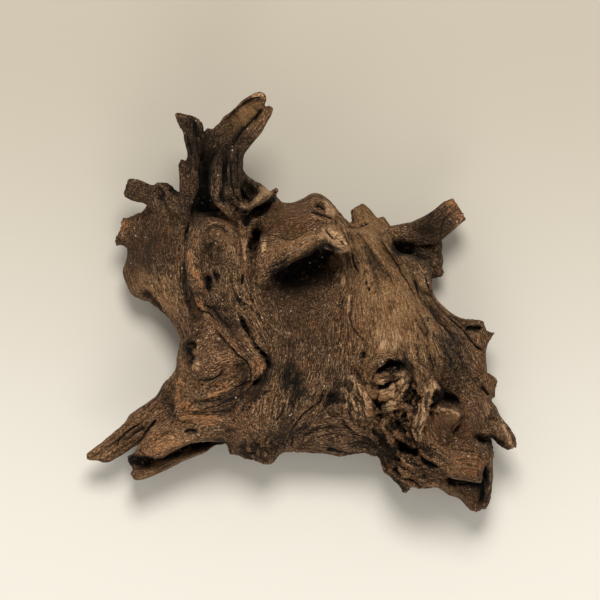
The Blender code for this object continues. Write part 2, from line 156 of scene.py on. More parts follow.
# Sheets and plates of wood: name, rim width, outline, heights of the underside and the top
SHEETS = [(name, rim, groups(outline), groups(heights)) for name, rim, outline, heights in (
    ("left_horn", 2.2, "174,113 180,113 186,115 194,117 198,120 201,123 203,128 202,133 203,140 202,152 "
     "200,162 200,196 195,202 193,213 192,232 183,232 181,205 180,180 184,164 188,158 188,153 185,142 "
     "185,134 183,128 180,126 178,121",
     "177,116,86,92 193,123,78,91 195,140,70,86 194,160,62,80 190,190,46,72 190,225,30,62"),
    ("horn_plate", 1.8, "178,165 180,163 181,160 183,159 185,162 188,164 193,161 198,165 200,180 200,190 "
     "196,201 193,215 191,236 179,236 178,210 179,190 179,175",
     "188,166,68,84 190,190,56,80 185,230,38,68"),
    ("horn_blade", 2.2, "204,135 206,130 210,129 213,131 217,126 222,121 224,117 228,115 233,111 238,106 "
     "241,102 245,99 250,96 255,94 260,93 264,94 266,96 267,100 265,104 263,112 258,121 252,129 246,137 "
     "241,145 237,153 230,163 214,166 199,166 199,150",
     "262,98,98,105 250,98,92,104 236,109,82,100 222,122,74,92 252,107,90,98 238,121,80,90 224,135,70,83 "
     "258,112,92,98 244,130,82,92 230,146,74,84 212,136,66,82 212,152,58,76 206,164,42,60"),
    ("slot_back", 5, "198,158 226,158 230,190 232,226 190,226 194,190",
     "205,165,10,34 208,215,8,22 226,200,20,40"),
    ("stub_shade", 3, "384,232 396,228 420,228 430,245 424,268 400,262 386,250",
     "395,245,4,12 415,245,4,12"),
    ("horn_wall", 2.5, "230,158 240,158 241,164 243,171 249,178 255,182 260,184 264,187 269,192 276,198 "
     "284,206 270,226 236,222 228,190",
     "236,165,52,72 243,176,46,74 258,187,44,77 270,197,40,76 241,188,30,56 247,197,26,54 256,198,30,63 "
     "238,206,26,54 252,208,26,54 268,216,20,60"),
    ("bulb", 3.5, "189,232 191,226 195,221 203,217 212,215 222,218 232,221 239,226 243,238 243,256 240,275 "
     "234,296 214,306 192,300 187,280 185,262 185,246",
     "196,234,30,82 212,223,30,86 216,238,30,93 233,234,30,84 194,262,30,84 200,282,30,85 212,258,30,84 "
     "218,280,30,75 232,262,30,82 225,296,30,78 192,296,30,75"),
    ("lip", 3.6, "246,258 262,236 276,226 300,216 322,212 336,216 342,226 347,238 350,247 346,250 341,251 "
     "335,252 332,249 328,247 324,245 318,245 315,250 312,254 306,257 300,259 293,262 289,266 284,269 "
     "277,273 272,277 268,284 262,290 250,284",
     "256,262,62,82 262,280,60,84 276,264,68,90 290,254,72,94 288,238,60,86 308,246,76,97 318,232,66,93 "
     "330,228,70,97 340,238,82,101 344,247,88,99 325,242,82,99 300,224,56,88 330,216,60,90"),
    ("upper_prong", 4, "184,366 177,371 170,379 165,382 160,390 157,395 150,400 140,407 130,414 124,422 "
     "115,431 106,440 98,446 90,452 85,457 88,461 97,460 104,463 110,462 118,457 127,452 138,445 150,437 "
     "176,440 200,400",
     "195,395,22,74 165,404,22,58 150,420,24,52 125,435,26,46 98,455,28,38 140,412,22,54"),
    ("front_flap", 1.5, "150,428 147,434 142,441 136,450 131,456 127,460 127,463 130,463 131,460 134,458 "
     "140,456 144,457 150,456 154,459 158,458 163,457 170,453 176,450 180,448 188,444 200,442 212,440 "
     "226,439 234,420 190,408",
     "205,425,46,68 165,438,50,63 150,446,50,60 133,458,46,51"),
    ("back_flap", 2, "160,440 142,455 138,461 134,465 136,467 133,470 130,475 133,476 134,480 140,480 "
     "150,477 158,473 165,470 172,467 182,462 200,455 208,452 214,447 228,444 230,425",
     "214,439,8,18 190,447,8,16 165,455,8,14 146,463,8,14 218,446,8,55 192,456,8,54 165,467,8,51 "
     "138,475,8,44"),
    ("gap_web", 2, "127,457 133,455 150,452 175,446 200,440 200,452 170,462 150,470 134,471 130,465",
     "135,462,12,24 160,458,12,26 195,446,12,26"),
    ("waist_plate", 2.6, "182,340 190,334 204,336 210,352 206,374 188,382 176,370 178,357",
     "183,350,20,66 202,345,40,78 200,366,40,79 182,368,20,66"),
    ("shoulder_ledge", 1.6, "386,230 391,239 393,247 399,254 411,256.5 420,259 428,264 431,280 433,294 "
     "420,290 404,274 390,256 378,240",
     "389,240,50,78 400,259,50,80 418,264,50,79 428,274,50,79 386,256,50,73 404,274,50,74 420,288,50,76 "
     "380,240,50,70"),
    ("left_spur", 1.5, "141,212 133,216 128,218 121,217.5 121,223 121,228 118,232 115.5,237 114,243 "
     "115,247 119,245 125,244.5 128,250 145,250 150,220",
     "119,240,34,40 124,240,34,42 124,227,38,48 130,222,36,48 142,235,30,52"),
    ("flag", 1.8, "448,330 450,314 461,319 471,320 480,320 485,321 486,327 489,333 499,329.5 492,338 "
     "488,344 486,352 488,373 466,372",
     "462,324,34,58 480,322,36,49 470,345,30,52 488,334,36,44"),
    ("teeth", 1.8, "478,372 488,373 493,376 498,380 496,387 495,392 497,395 495,397 490,399 492,403 "
     "497,408 498,413 501,418 506,423 509.5,427 512,431 516,437.5 518,447 509,451 500,446 494,440 490,436 "
     "476,440 466,400",
     "478,395,34,66 492,384,38,54 494,427,40,64 494,409,26,44 502,432,42,62 510,443,44,56"),
    ("cone_lump", 1.5, "431,407 436,405 444,405 451,406 456,409 461,413 459,417 455,421 450,427 448,434 "
     "446,444 440,452 431,452 429,436 429,420",
     "434,408,50,81 446,408,60,89 459,413,70,102 440,412,50,86 450,417,55,96 438,424,50,81 449,424,50,91 "
     "436,438,50,77 445,437,50,86 442,446,50,79"),
    ("corner_block", 1.6, "444,446 450,438 460,432 472,436 480,446 481,455 485,459 488,463 485,466 482,470 "
     "482,478 480,483 470,482 460,481 450,479 446,475 430,468 430,456",
     "452,443,40,79 468,440,46,82 474,457,50,87 485,463,60,88 460,464,40,87 477,478,50,86 453,475,50,85 "
     "436,460,40,76"),
    ("foot", 3, "436,488 442,490 449,496 457,498 461,500 465,506 470,511 478,512 479,508 482,506 485,510 "
     "489,503 492,492 493,478 492,466 493,455 491,446 489,436 470,436 450,450 436,466",
     "470,470,6,66 476,505,18,48 488,490,22,55 487,450,20,60 445,484,10,60 479,495,18,50 462,488,12,56"),
    ("back_tab", 2, "392,470 392,479 394,484 399,487 401,490 401,493 404,495 408,493 409,490 410,486 "
     "412,470",
     "400,480,12,24 405,492,12,20"),
    ("knot_heart", 2.6, "374,390 376,380 386,378 396,378 404,384 407,392 405,398 400,405 392,411 380,412 "
     "374,408 372,398",
     "380,386,60,80 392,384,60,82 402,390,66,84 394,394,60,83 380,400,60,78 392,404,60,82"),
    ("pale_strip", 1.4, "268,191 271,194 264,201 257,206 250,210 243,212 240,209 247,204 253,199 258,194 "
     "263,191",
     "268,193,56,80 255,202,54,81 243,210,54,75"),
    ("stub_web", 1.8, "410,238 425,228 444,243 441,252 443,260 441,269 437,270 442,272 444,275.5 437,275 "
     "431,279 424,266 412,258 411,250",
     "430,240,20,38 436,264,18,31 418,250,18,34"),
    ("nub", 4, "250,456 254,446 262,442 272,444 279,450 276,456 272,462 266,464 261,463 258,459",
     "264,448,30,66 267,460,26,52"),
)]

# Round growth: name, squareness of its ovals, then column, row, height of the middle, width and thickness
LIMBS = [(name, squareness, groups(stations)) for name, squareness, stations in (
    ("strand", 3, "270.5,108.5,98,4.5,6 266,115.5,96,8,9 256.5,127.5,92,10.5,12 246,139,87,11,14 "
     "237,151,83,11,18 232.5,163,80,12,22 232,176,77,11.5,24 232.5,188,74,10.5,24 236,199,69,8,20 "
     "243,207,64,6.5,16 250,214,58,5,12"),
    ("horn_inner", 1.5, "242.5,148,78,3,10 239.5,160,72,3.5,14 240,172,66,3.5,18 242,184,60,3.5,20 "
     "246,194,56,3.5,18 252,201,54,3.5,14"),
    ("finger_ridge", 3, "223,149,84,2.4,6 219,157,83,6,11 217,168,82,11,15 217,180,81,12,18 "
     "217.5,192,80,12,20 221,203,79,9.5,20 229,212,78,8,17 238,219,74,6,12"),
    ("beak", 2.6, "314,243,86,8,12 326,240,89,13,14 336,243,92,13,14 344,247,93,9,11 349,248,93,6,8"),
    ("beak_edge", 1.5, "326,222,86,6,12 334,230,91,8,14 341,239,95,8,13 347,247,96,5,9"),
    ("cone_edge", 1.5, "433,409,78,4,12 444,408,85,5,14 453,410,92,5,14 461,414,96,3,10"),
    ("root_strand_1", 1.5, "396,452,70,4,8 410,460,73,6,12 426,470,74,6,12 444,478,72,4,8"),
    ("root_strand_2", 1.5, "392,460,66,4,8 404,468,69,6,12 420,478,70,6,12 438,485,66,4,8"),
    ("root_strand_3", 1.5, "388,468,58,4,8 402,478,62,5,10 420,487,60,4,8"),
    ("heart_boulder", 2.8, "397,372,84,7,12 402,378,88,11,16 407,387,88,9,14 407,394,84,6,10"),
    ("heart_rib_1", 1.5, "374,384,78,5,10 384,380,84,7,12 396,381,86,6,10 401,386,84,4,8"),
    ("heart_rib_2", 1.5, "374,400,76,5,10 382,394,82,7,12 394,393,84,6,10 401,398,80,4,8"),
    ("heart_rib_3", 1.5, "378,412,76,5,10 388,407,81,7,12 398,402,82,6,10"),
    ("shard_1", 1.4, "362,372,76,4,8 369,384,80,6,12 373,398,78,5,10 376,410,72,3,8"),
    ("shard_2", 1.4, "352,376,72,4,8 358,390,79,8,14 366,404,79,7,12 374,418,72,4,8"),
    ("shard_3", 1.4, "345,386,71,4,8 351,400,76,7,12 360,414,76,7,12 371,428,70,4,8"),
    ("shard_4", 1.4, "341,400,69,3,8 348,413,72,6,10 358,425,71,5,10 366,434,67,3,8"),
    ("shard_5", 1.4, "384,416,76,4,8 392,426,79,6,12 402,436,79,6,12 412,446,74,4,8"),
    ("shard_6", 1.4, "357,366,74,3,8 364,374,79,5,10 370,388,80,5,10 372,400,76,3,8"),
    ("shard_7", 1.4, "348,404,70,3,8 356,418,75,5,10 366,430,74,5,10 378,442,70,3,8"),
    ("shard_8", 1.4, "376,418,73,3,8 384,428,77,5,10 392,440,76,5,10 398,448,72,3,8"),
    ("shard_9", 1.4, "392,412,76,3,8 402,420,79,5,10 410,430,80,5,10 414,440,76,3,8"),
    ("shard_10", 1.4, "404,402,80,3,8 410,410,83,5,10 412,420,82,4,10 408,430,78,3,8"),
    ("heart_rib_4", 1.4, "372,392,78,3,8 382,389,83,4,10 392,388,85,4,10 399,391,82,3,8"),
    ("pale_sliver_1", 1.5, "412,361,82,4,8 421,368,86,7,12 430,378,90,8,14 435,390,91,7,14 433,401,88,4,10"),
    ("pale_sliver_2", 1.5, "414,372,82,4,8 421,384,88,7,13 427,396,92,8,15 425,408,91,7,14 420,418,86,4,10"),
    ("pale_sliver_3", 1.5, "422,402,86,4,10 422,414,89,7,14 417,426,88,8,14 417,438,84,7,12 424,449,78,4,8"),
    ("left_stub", 2.6, "182,212,50,24,28 162,200,52,20,24 147,194,52,14,18 135,190,52,16,14 "
     "125,187,52,14,10"),
    ("left_stub_knot", 2, "176,210,56,16,18 168,197,60,14,14 162,190,60,10,10"),
    ("left_stub_rim", 2, "150,200,56,4,8 152,191,60,4,8 158,185,62,4,7 167,185,61,4,7 173,190,58,4,7"),
    ("back_bump", 2, "375,244,36,28,28 366,226,38,20,24 361,214,38,15,16 357,206.5,38,10,9"),
    ("back_bump_shoulder", 2.6, "384,240,34,14,20 382,227,34,12,12 379,218,34,8,8"),
    ("right_stub", 2.8, "380,240,40,14,24 396,234,37,13,22 413,233,36,17,22 429,231,35,23,22 "
     "441,222,35,20.5,20 452,213,35,20.5,18 460,208.5,35,18.5,16"),
)]

# Strokes that shape the front: kind, width, height, path. A fold is round, a crack is narrow and sharp,
# a ledge lifts the wood on the left of its path, and a hole goes straight down with steep walls.
# Negative heights sink.
STROKES = [(kind, width, height, groups(path)) for kind, width, height, path in (
    ("ledge", 6, 2.6, "189,224 186,236 185,252 187,270 188,296 188,318"),
    ("crack", 2, -3, "190,222 186,232 185,246"),
    ("fold", 3.2, 2, "192,250 195,268 201,284 208,298"),
    ("fold", 3.2, -6, "205,248 205,262 207,276 210,290"),
    ("fold", 2, 2.6, "214,252 213,266 213,278"),
    ("fold", 4, -3, "220,262 219,278 220,298"),
    ("crack", 3, -6, "214,272 217,277"),
    ("crack", 2.4, -5, "208,277 209,288"),
    ("fold", 2.4, 1.2, "205,242 210,236 220,234 230,240"),
    ("crack", 1.2, -1, "208,247 213,243 222,243"),
    ("ledge", 2.6, -0.7, "192,233 197,226 206,222 218,222 230,226"),
    ("crack", 1.8, -4, "243,274 242,284"),
    ("fold", 2.4, -3, "238,222 238,240 241,262"),
    ("fold", 2, 3, "247,232 245,245 246,258"),
    ("hole", 3.6, -24, "257,235 252,250"),
    ("fold", 2.2, 2.4, "262,234 264,246 259,256"),
    ("fold", 2.5, -2.5, "255,266 255,282"),
    ("ledge", 6, 3.4, "250,387 255,384 261,380 265,375 270,367 268,358 262,352 257,348 253,341 249,331 "
     "245,325 239,315"),
    ("crack", 2, -8, "250,387 255,384 261,380 265,375 270,367 268,358 262,352 257,348 253,341 249,331 "
     "245,325 239,315"),
    ("ledge", 5, 2.2, "215,329 221,337 233,350 238,356 246,361 250,370 250,382"),
    ("crack", 1.5, -4, "215,329 221,337 233,350 238,356 246,361 250,370 250,382"),
    ("fold", 4.6, -6.5, "241,363 243,380"),
    ("hole", 0.8, -6, "254,384 261,380 265,375 270,367 268,358 262,352 256,346"),
    ("hole", 0.5, -5, "256,346 253,341 249,331 245,325 241,317"),
    ("hole", 2.2, -9, "191,346 193,362"),
    ("fold", 5, 2.4, "205,306 225,320 240,338 256,355 259,368 254,380"),
    ("ledge", 4, 1.4, "205,400 219,397 227,393 234,389 243,384 250,381"),
    ("crack", 1.2, -2.5, "205,400 219,397 227,393 234,389 243,384 250,381"),
    ("crack", 1.2, -2, "224,368 221,375 212,379 199,380"),
    ("fold", 4.2, -10, "187,342 190,352 191,362"),
    ("fold", 1.8, 2.6, "197,347 199,356 197,368"),
    ("crack", 1.3, -2, "201,311 209,313 215,321"),
    ("crack", 1.3, -2.2, "203,306 213,308 220,317 234,330"),
    ("fold", 4, -3.5, "224,308 231,319 239,330"),
    ("fold", 4.5, -3.5, "217,338 223,346"),
    ("fold", 2, 1.2, "262,318 274,327 284,329 292,336"),
    ("fold", 3.6, -2, "266,330 276,336"),
    ("crack", 1.6, -3.5, "272,234 278,236 286,239 293,239 299,236 304,232"),
    ("ledge", 5, -2.2, "266,232 278,235 286,238 295,238 306,230"),
    ("crack", 1.6, -3, "271,267 280,264 287,258"),
    ("ledge", 4, 1.6, "272,268 281,264 289,259 300,257"),
    ("crack", 3.2, -5, "315,205 320,204 326,209"),
    ("crack", 2, -4, "309,210 318,213 333,218"),
    ("crack", 3, -7, "339,213 337,222"),
    ("ledge", 4, -3, "337,216 343,229 349,242 352,260 356,272"),
    ("crack", 1.8, -3.5, "340,220 345,232 350,247 353,262 357,272"),
    ("crack", 1.4, -2.2, "324,229 328,234 333,240"),
    ("crack", 1.4, -1.6, "333,240 337,238"),
    ("crack", 1.4, -2, "340,241 344,246"),
    ("fold", 2.4, -2, "318,226 322,238 320,246"),
    ("fold", 3, 1.5, "352,228 362,248 372,262"),
    ("crack", 1.3, -1.4, "352,226 368,244 386,268 396,290"),
    ("crack", 1.3, -1.6, "376,236 392,258 408,282 420,306"),
    ("fold", 3, -1.4, "400,256 412,276 424,304 446,326"),
    ("fold", 2.2, 1.5, "404,256 418,280 430,304 450,326"),
    ("crack", 1.6, -3, "424,274 430,292 441,309 455,322 466,332"),
    ("crack", 1.5, -2, "412,276 420,296 436,318 452,334"),
    ("crack", 1.2, -1.4, "351,305 349,318 352,328 359,336 367,345"),
    ("fold", 2, 1.2, "354,306 353,324 361,332"),
    ("crack", 2.4, -4, "363,352 362,358"),
    ("crack", 1.6, -2.5, "365,281 366,285"),
    ("crack", 1.6, -2.5, "368,287 369,291"),
    ("hole", 2.6, -16, "381,373 387,368 394,365 400,367"),
    ("hole", 2.4, -12, "390,363 397,367"),
    ("crack", 2.6, -6, "372,378 378,374"),
    ("hole", 2, -12, "413,384 410,391 407,398"),
    ("fold", 4, -6, "409,400 405,412 402,424"),
    ("crack", 2, -4, "376,388 386,386 397,380"),
    ("crack", 2, -4, "377,396 377,404 382,411"),
    ("fold", 3, -4, "395,424 402,434 400,444"),
    ("fold", 3.5, -5, "366,424 376,436 386,446"),
    ("hole", 2.6, -9, "400,447 408,449 417,452"),
    ("crack", 2, -4, "419,455 425,463 438,468"),
    ("crack", 2, -3, "404,459 414,464 430,470"),
    ("fold", 2.4, -3, "398,469 412,475 424,480"),
    ("hole", 3.4, -12, "438,396 447,398 456,404"),
    ("hole", 1, -5, "461,416 456,424 451,432 448,441"),
    ("fold", 5, -4, "468,414 461,426 456,440"),
    ("crack", 3, -12, "437,390 435,400 431,411"),
    ("ledge", 5, 5, "446,444 449,434 454,425 461,415"),
    ("ledge", 6, -2.5, "428,406 429,420 429,436 430,446"),
    ("crack", 3.2, -10, "447,481 456,483 470,484 482,485"),
    ("crack", 3, -7, "487,466 486,478 488,488"),
    ("crack", 2.6, -4, "478,470 482,490 480,506"),
    ("hole", 2.4, -14, "477,438 483,439 488,439"),
    ("crack", 2, -3, "480,448 481,456 486,460"),
    ("crack", 1.3, -1.2, "450,449 464,449 476,452"),
    ("crack", 1.3, -1.2, "452,460 466,458 478,460"),
    ("crack", 1.3, -1, "452,469 466,468 480,470"),
    ("hole", 1.2, -9, "465,328 480,328"),
    ("crack", 2, -4, "464,329 469,336 476,346 483,350"),
    ("crack", 1.2, -1.2, "446,340 458,356 472,378 488,396"),
    ("crack", 1.2, -1.2, "462,346 474,362 486,376"),
    ("fold", 3, -3, "456,352 462,368 470,384"),
    ("crack", 2, -3, "482,386 490,396"),
    ("ledge", 5, 4, "487,402 489,410 488,418 500,420"),
    ("crack", 2.5, -5, "491,436 498,442 506,444"),
    ("crack", 2.2, -4, "386,230 391,236 388,242"),
    ("crack", 2, -4, "349,225 358,226 368,223"),
    ("crack", 1.6, -2, "357,231 362,236"),
    ("crack", 1.2, -1.4, "456,211 446,217 442,225 441,240"),
    ("fold", 6, -6, "424,226 427,240 424,252"),
    ("crack", 3, -9, "197,123 198,130 199,139"),
    ("crack", 1.5, -2.5, "186,136 190,148 191,158"),
    ("crack", 1.5, -2, "197,140 199,152 202,162"),
    ("fold", 1.8, 1.8, "216,128 225,119 236,110 246,101 256,96 264,97"),
    ("crack", 1.5, -2.6, "228,121 236,112 244,105 252,101 262,99"),
    ("fold", 5, -1.8, "226,128 240,114 254,104"),
    ("crack", 1.4, -4, "263,110 252,120.5 243,130 235,140 228,151"),
    ("crack", 2, -6, "225.5,158 224.5,170 224.5,184 225,196"),
    ("crack", 3, -7, "222,194 225,200"),
    ("crack", 1.4, -2.5, "231,160 231,180 235,196 242,204"),
    ("crack", 1.4, -2, "238,150 238,168 239,184"),
    ("fold", 2.2, -16, "275,196 262,208 252,214 246,219"),
    ("hole", 2.4, -16, "246,214 245,223"),
    ("fold", 2.2, -3, "160,198 163,192 166,190"),
    ("fold", 2.5, -4, "172,187 176,192"),
    ("crack", 1.2, -1.6, "108,441 114,436 119,432"),
    ("crack", 1.4, -2, "124,435 132,429 138,426"),
    ("crack", 1.2, -1.5, "90,459 104,449 120,440"),
    ("crack", 1.2, -1.5, "110,456 126,446 140,438"),
    ("crack", 1.2, -1.5, "122,444 134,434 147,427"),
    ("crack", 1.2, -1.2, "112,446 126,434 140,424 156,410"),
    ("crack", 1.8, -3.5, "144,436 149,428 156,420"),
    ("fold", 6, -4, "160,398 166,408 174,414"),
    ("ledge", 4, 1.5, "179,418 177,402 179,390 183,380"),
    ("fold", 1.5, 1.2, "181,416 179,402 180,390 184,380"),
    ("crack", 2.2, -2.5, "184,432 190,430 197,431"),
    ("crack", 1.5, -2, "170,467 190,459 208,451"),
    ("crack", 1.5, -1.5, "150,470 170,461 190,452 215,444"),
    ("fold", 2.2, -3, "226,442 228,456"),
    ("crack", 2.2, -3, "246,453 252,455"),
    ("crack", 1.3, -1.5, "258,452 262,447 270,447 275,452"),
    ("crack", 1.3, -1.5, "262,455 266,452 270,455"),
    ("crack", 1.6, -3, "323,391 321,401 312,408 304,414 296,424 290,436"),
    ("crack", 1.5, -2, "293,437 291,448"),
    ("ledge", 4, 1.2, "290,436 296,424 304,414 312,408 321,401"),
    ("crack", 1.5, -2, "291,400 295,409"),
    ("crack", 1.5, -2, "286,403 282,413 276,422"),
    ("fold", 3.6, -5, "330,395 334,402"),
    ("crack", 1.3, -1.5, "324,396 325,408 331,416 340,418"),
    ("fold", 7, -3, "290,372 300,384"),
    ("fold", 5, -2, "326,378 340,384"),
    ("crack", 2, -3, "326,449 338,452 348,454"),
    ("crack", 1.3, -1.2, "302,440 316,430 336,427 356,430"),
    ("crack", 1.3, -1.2, "300,447 312,438 330,434 352,437"),
)]

# How torn and knotty the wood is: column, row, radius in cells, strength. Below nought it is worn smooth.
ROUGH_PLACES = [
    (388, 392, 34, 1.0), (352, 400, 20, 0.9), (395, 436, 30, 1.0), (410, 465, 26, 0.8),
    (300, 382, 18, 0.6), (335, 398, 16, 0.7), (196, 306, 12, 0.8), (190, 410, 16, 0.6),
    (255, 450, 18, 0.6), (424, 405, 14, 0.7), (455, 365, 22, 0.5), (340, 440, 30, 0.3),
    (250, 245, 14, 0.4), (215, 240, 20, 0.3), (300, 345, 40, 0.2), (155, 290, 20, 0.3),
    (150, 240, 30, -0.9), (288, 218, 22, -0.8), (245, 112, 24, -0.8), (190, 190, 16, -0.6),
    (430, 232, 26, -0.8), (370, 222, 20, -0.5), (465, 492, 20, -0.7), (400, 300, 44, -0.3),
    (190, 354, 14, -0.6), (140, 192, 16, -0.7), (315, 320, 26, -0.4), (466, 425, 16, -0.9),
    (440, 425, 12, -0.8), (244, 370, 8, -0.6), (465, 460, 16, -0.5), (178, 432, 14, -0.4),
    (232, 150, 26, -0.6), (196, 150, 20, -0.5), (135, 270, 24, -0.7), (445, 222, 20, -0.3),
    (285, 320, 24, -0.5), (322, 350, 36, -0.5),
]

# Lines that the grain of the wood follows
GRAIN_LINES = [groups(line) for line in (
    "150,190 140,225 138,260 150,290 170,315 182,345", "165,200 160,250 168,290 182,320",
    "128,187 150,192 175,205", "176,114 191,124 194,150 189,190 190,225", "207,132 207,160 204,200",
    "263,95 246,110 232,126 221,141 214,160 213,185",
    "271,109 258,128 242,147 235,163 243,180 260,193 272,198",
    "224,150 214,168 212,185 218,200 232,212 245,222",
    "190,250 191,232 200,220 215,216 230,221 237,236 238,270 248,300", "203,244 210,234 220,232 230,240",
    "220,262 221,280 224,300", "192,250 190,275 190,300", "206,262 206,300 214,318",
    "250,225 246,250 250,280 262,305 275,330 283,360",
    "190,300 205,315 225,335 245,355 256,365 254,378 240,388 215,398 190,405",
    "210,290 232,310 252,335 268,355 272,368 262,386 245,396 215,407 185,415",
    "184,372 200,380 214,378 224,368", "196,346 206,340 218,338", "204,362 216,358 230,360",
    "183,345 182,365 186,385 200,395", "185,400 160,415 130,435 95,455", "225,425 190,430 160,445 135,462",
    "235,440 205,448 170,462 140,477", "240,405 246,430 240,455", "275,375 268,405 262,430 264,460",
    "300,385 290,410 282,430 288,450", "322,392 312,408 296,428 290,450", "300,437 330,426 360,428 382,442",
    "300,449 340,446 375,455", "290,290 285,330 275,370", "310,285 312,330 305,370 300,400",
    "335,285 338,330 342,370 345,405", "252,276 275,263 297,248 318,238 345,246",
    "262,235 285,238 310,230 332,226", "270,207 300,213 325,210 345,225",
    "348,228 358,255 366,290 368,330 362,365", "356,226 378,258 392,292 400,330 402,362",
    "372,226 398,256 418,290 434,325 445,360", "390,235 415,264 436,302 460,332 482,362",
    "358,210 372,225 385,240", "455,208 430,225 405,240 385,250", "440,270 428,255 412,247",
    "412,362 420,385 424,405 419,425 422,445", "445,365 458,390 472,412 480,432",
    "470,370 486,395 500,425 512,445", "385,455 410,465 440,478 462,490", "430,442 455,455 485,463",
    "455,480 472,508", "488,440 489,470 484,505", "470,322 478,345 484,372",
    "350,380 356,405 372,428 390,450", "376,388 388,385 404,377", "378,402 390,404 404,394",
)]

# Round knots that the grain flows about: column, row, radius in cells
GRAIN_RINGS = [(390, 392, 26)]
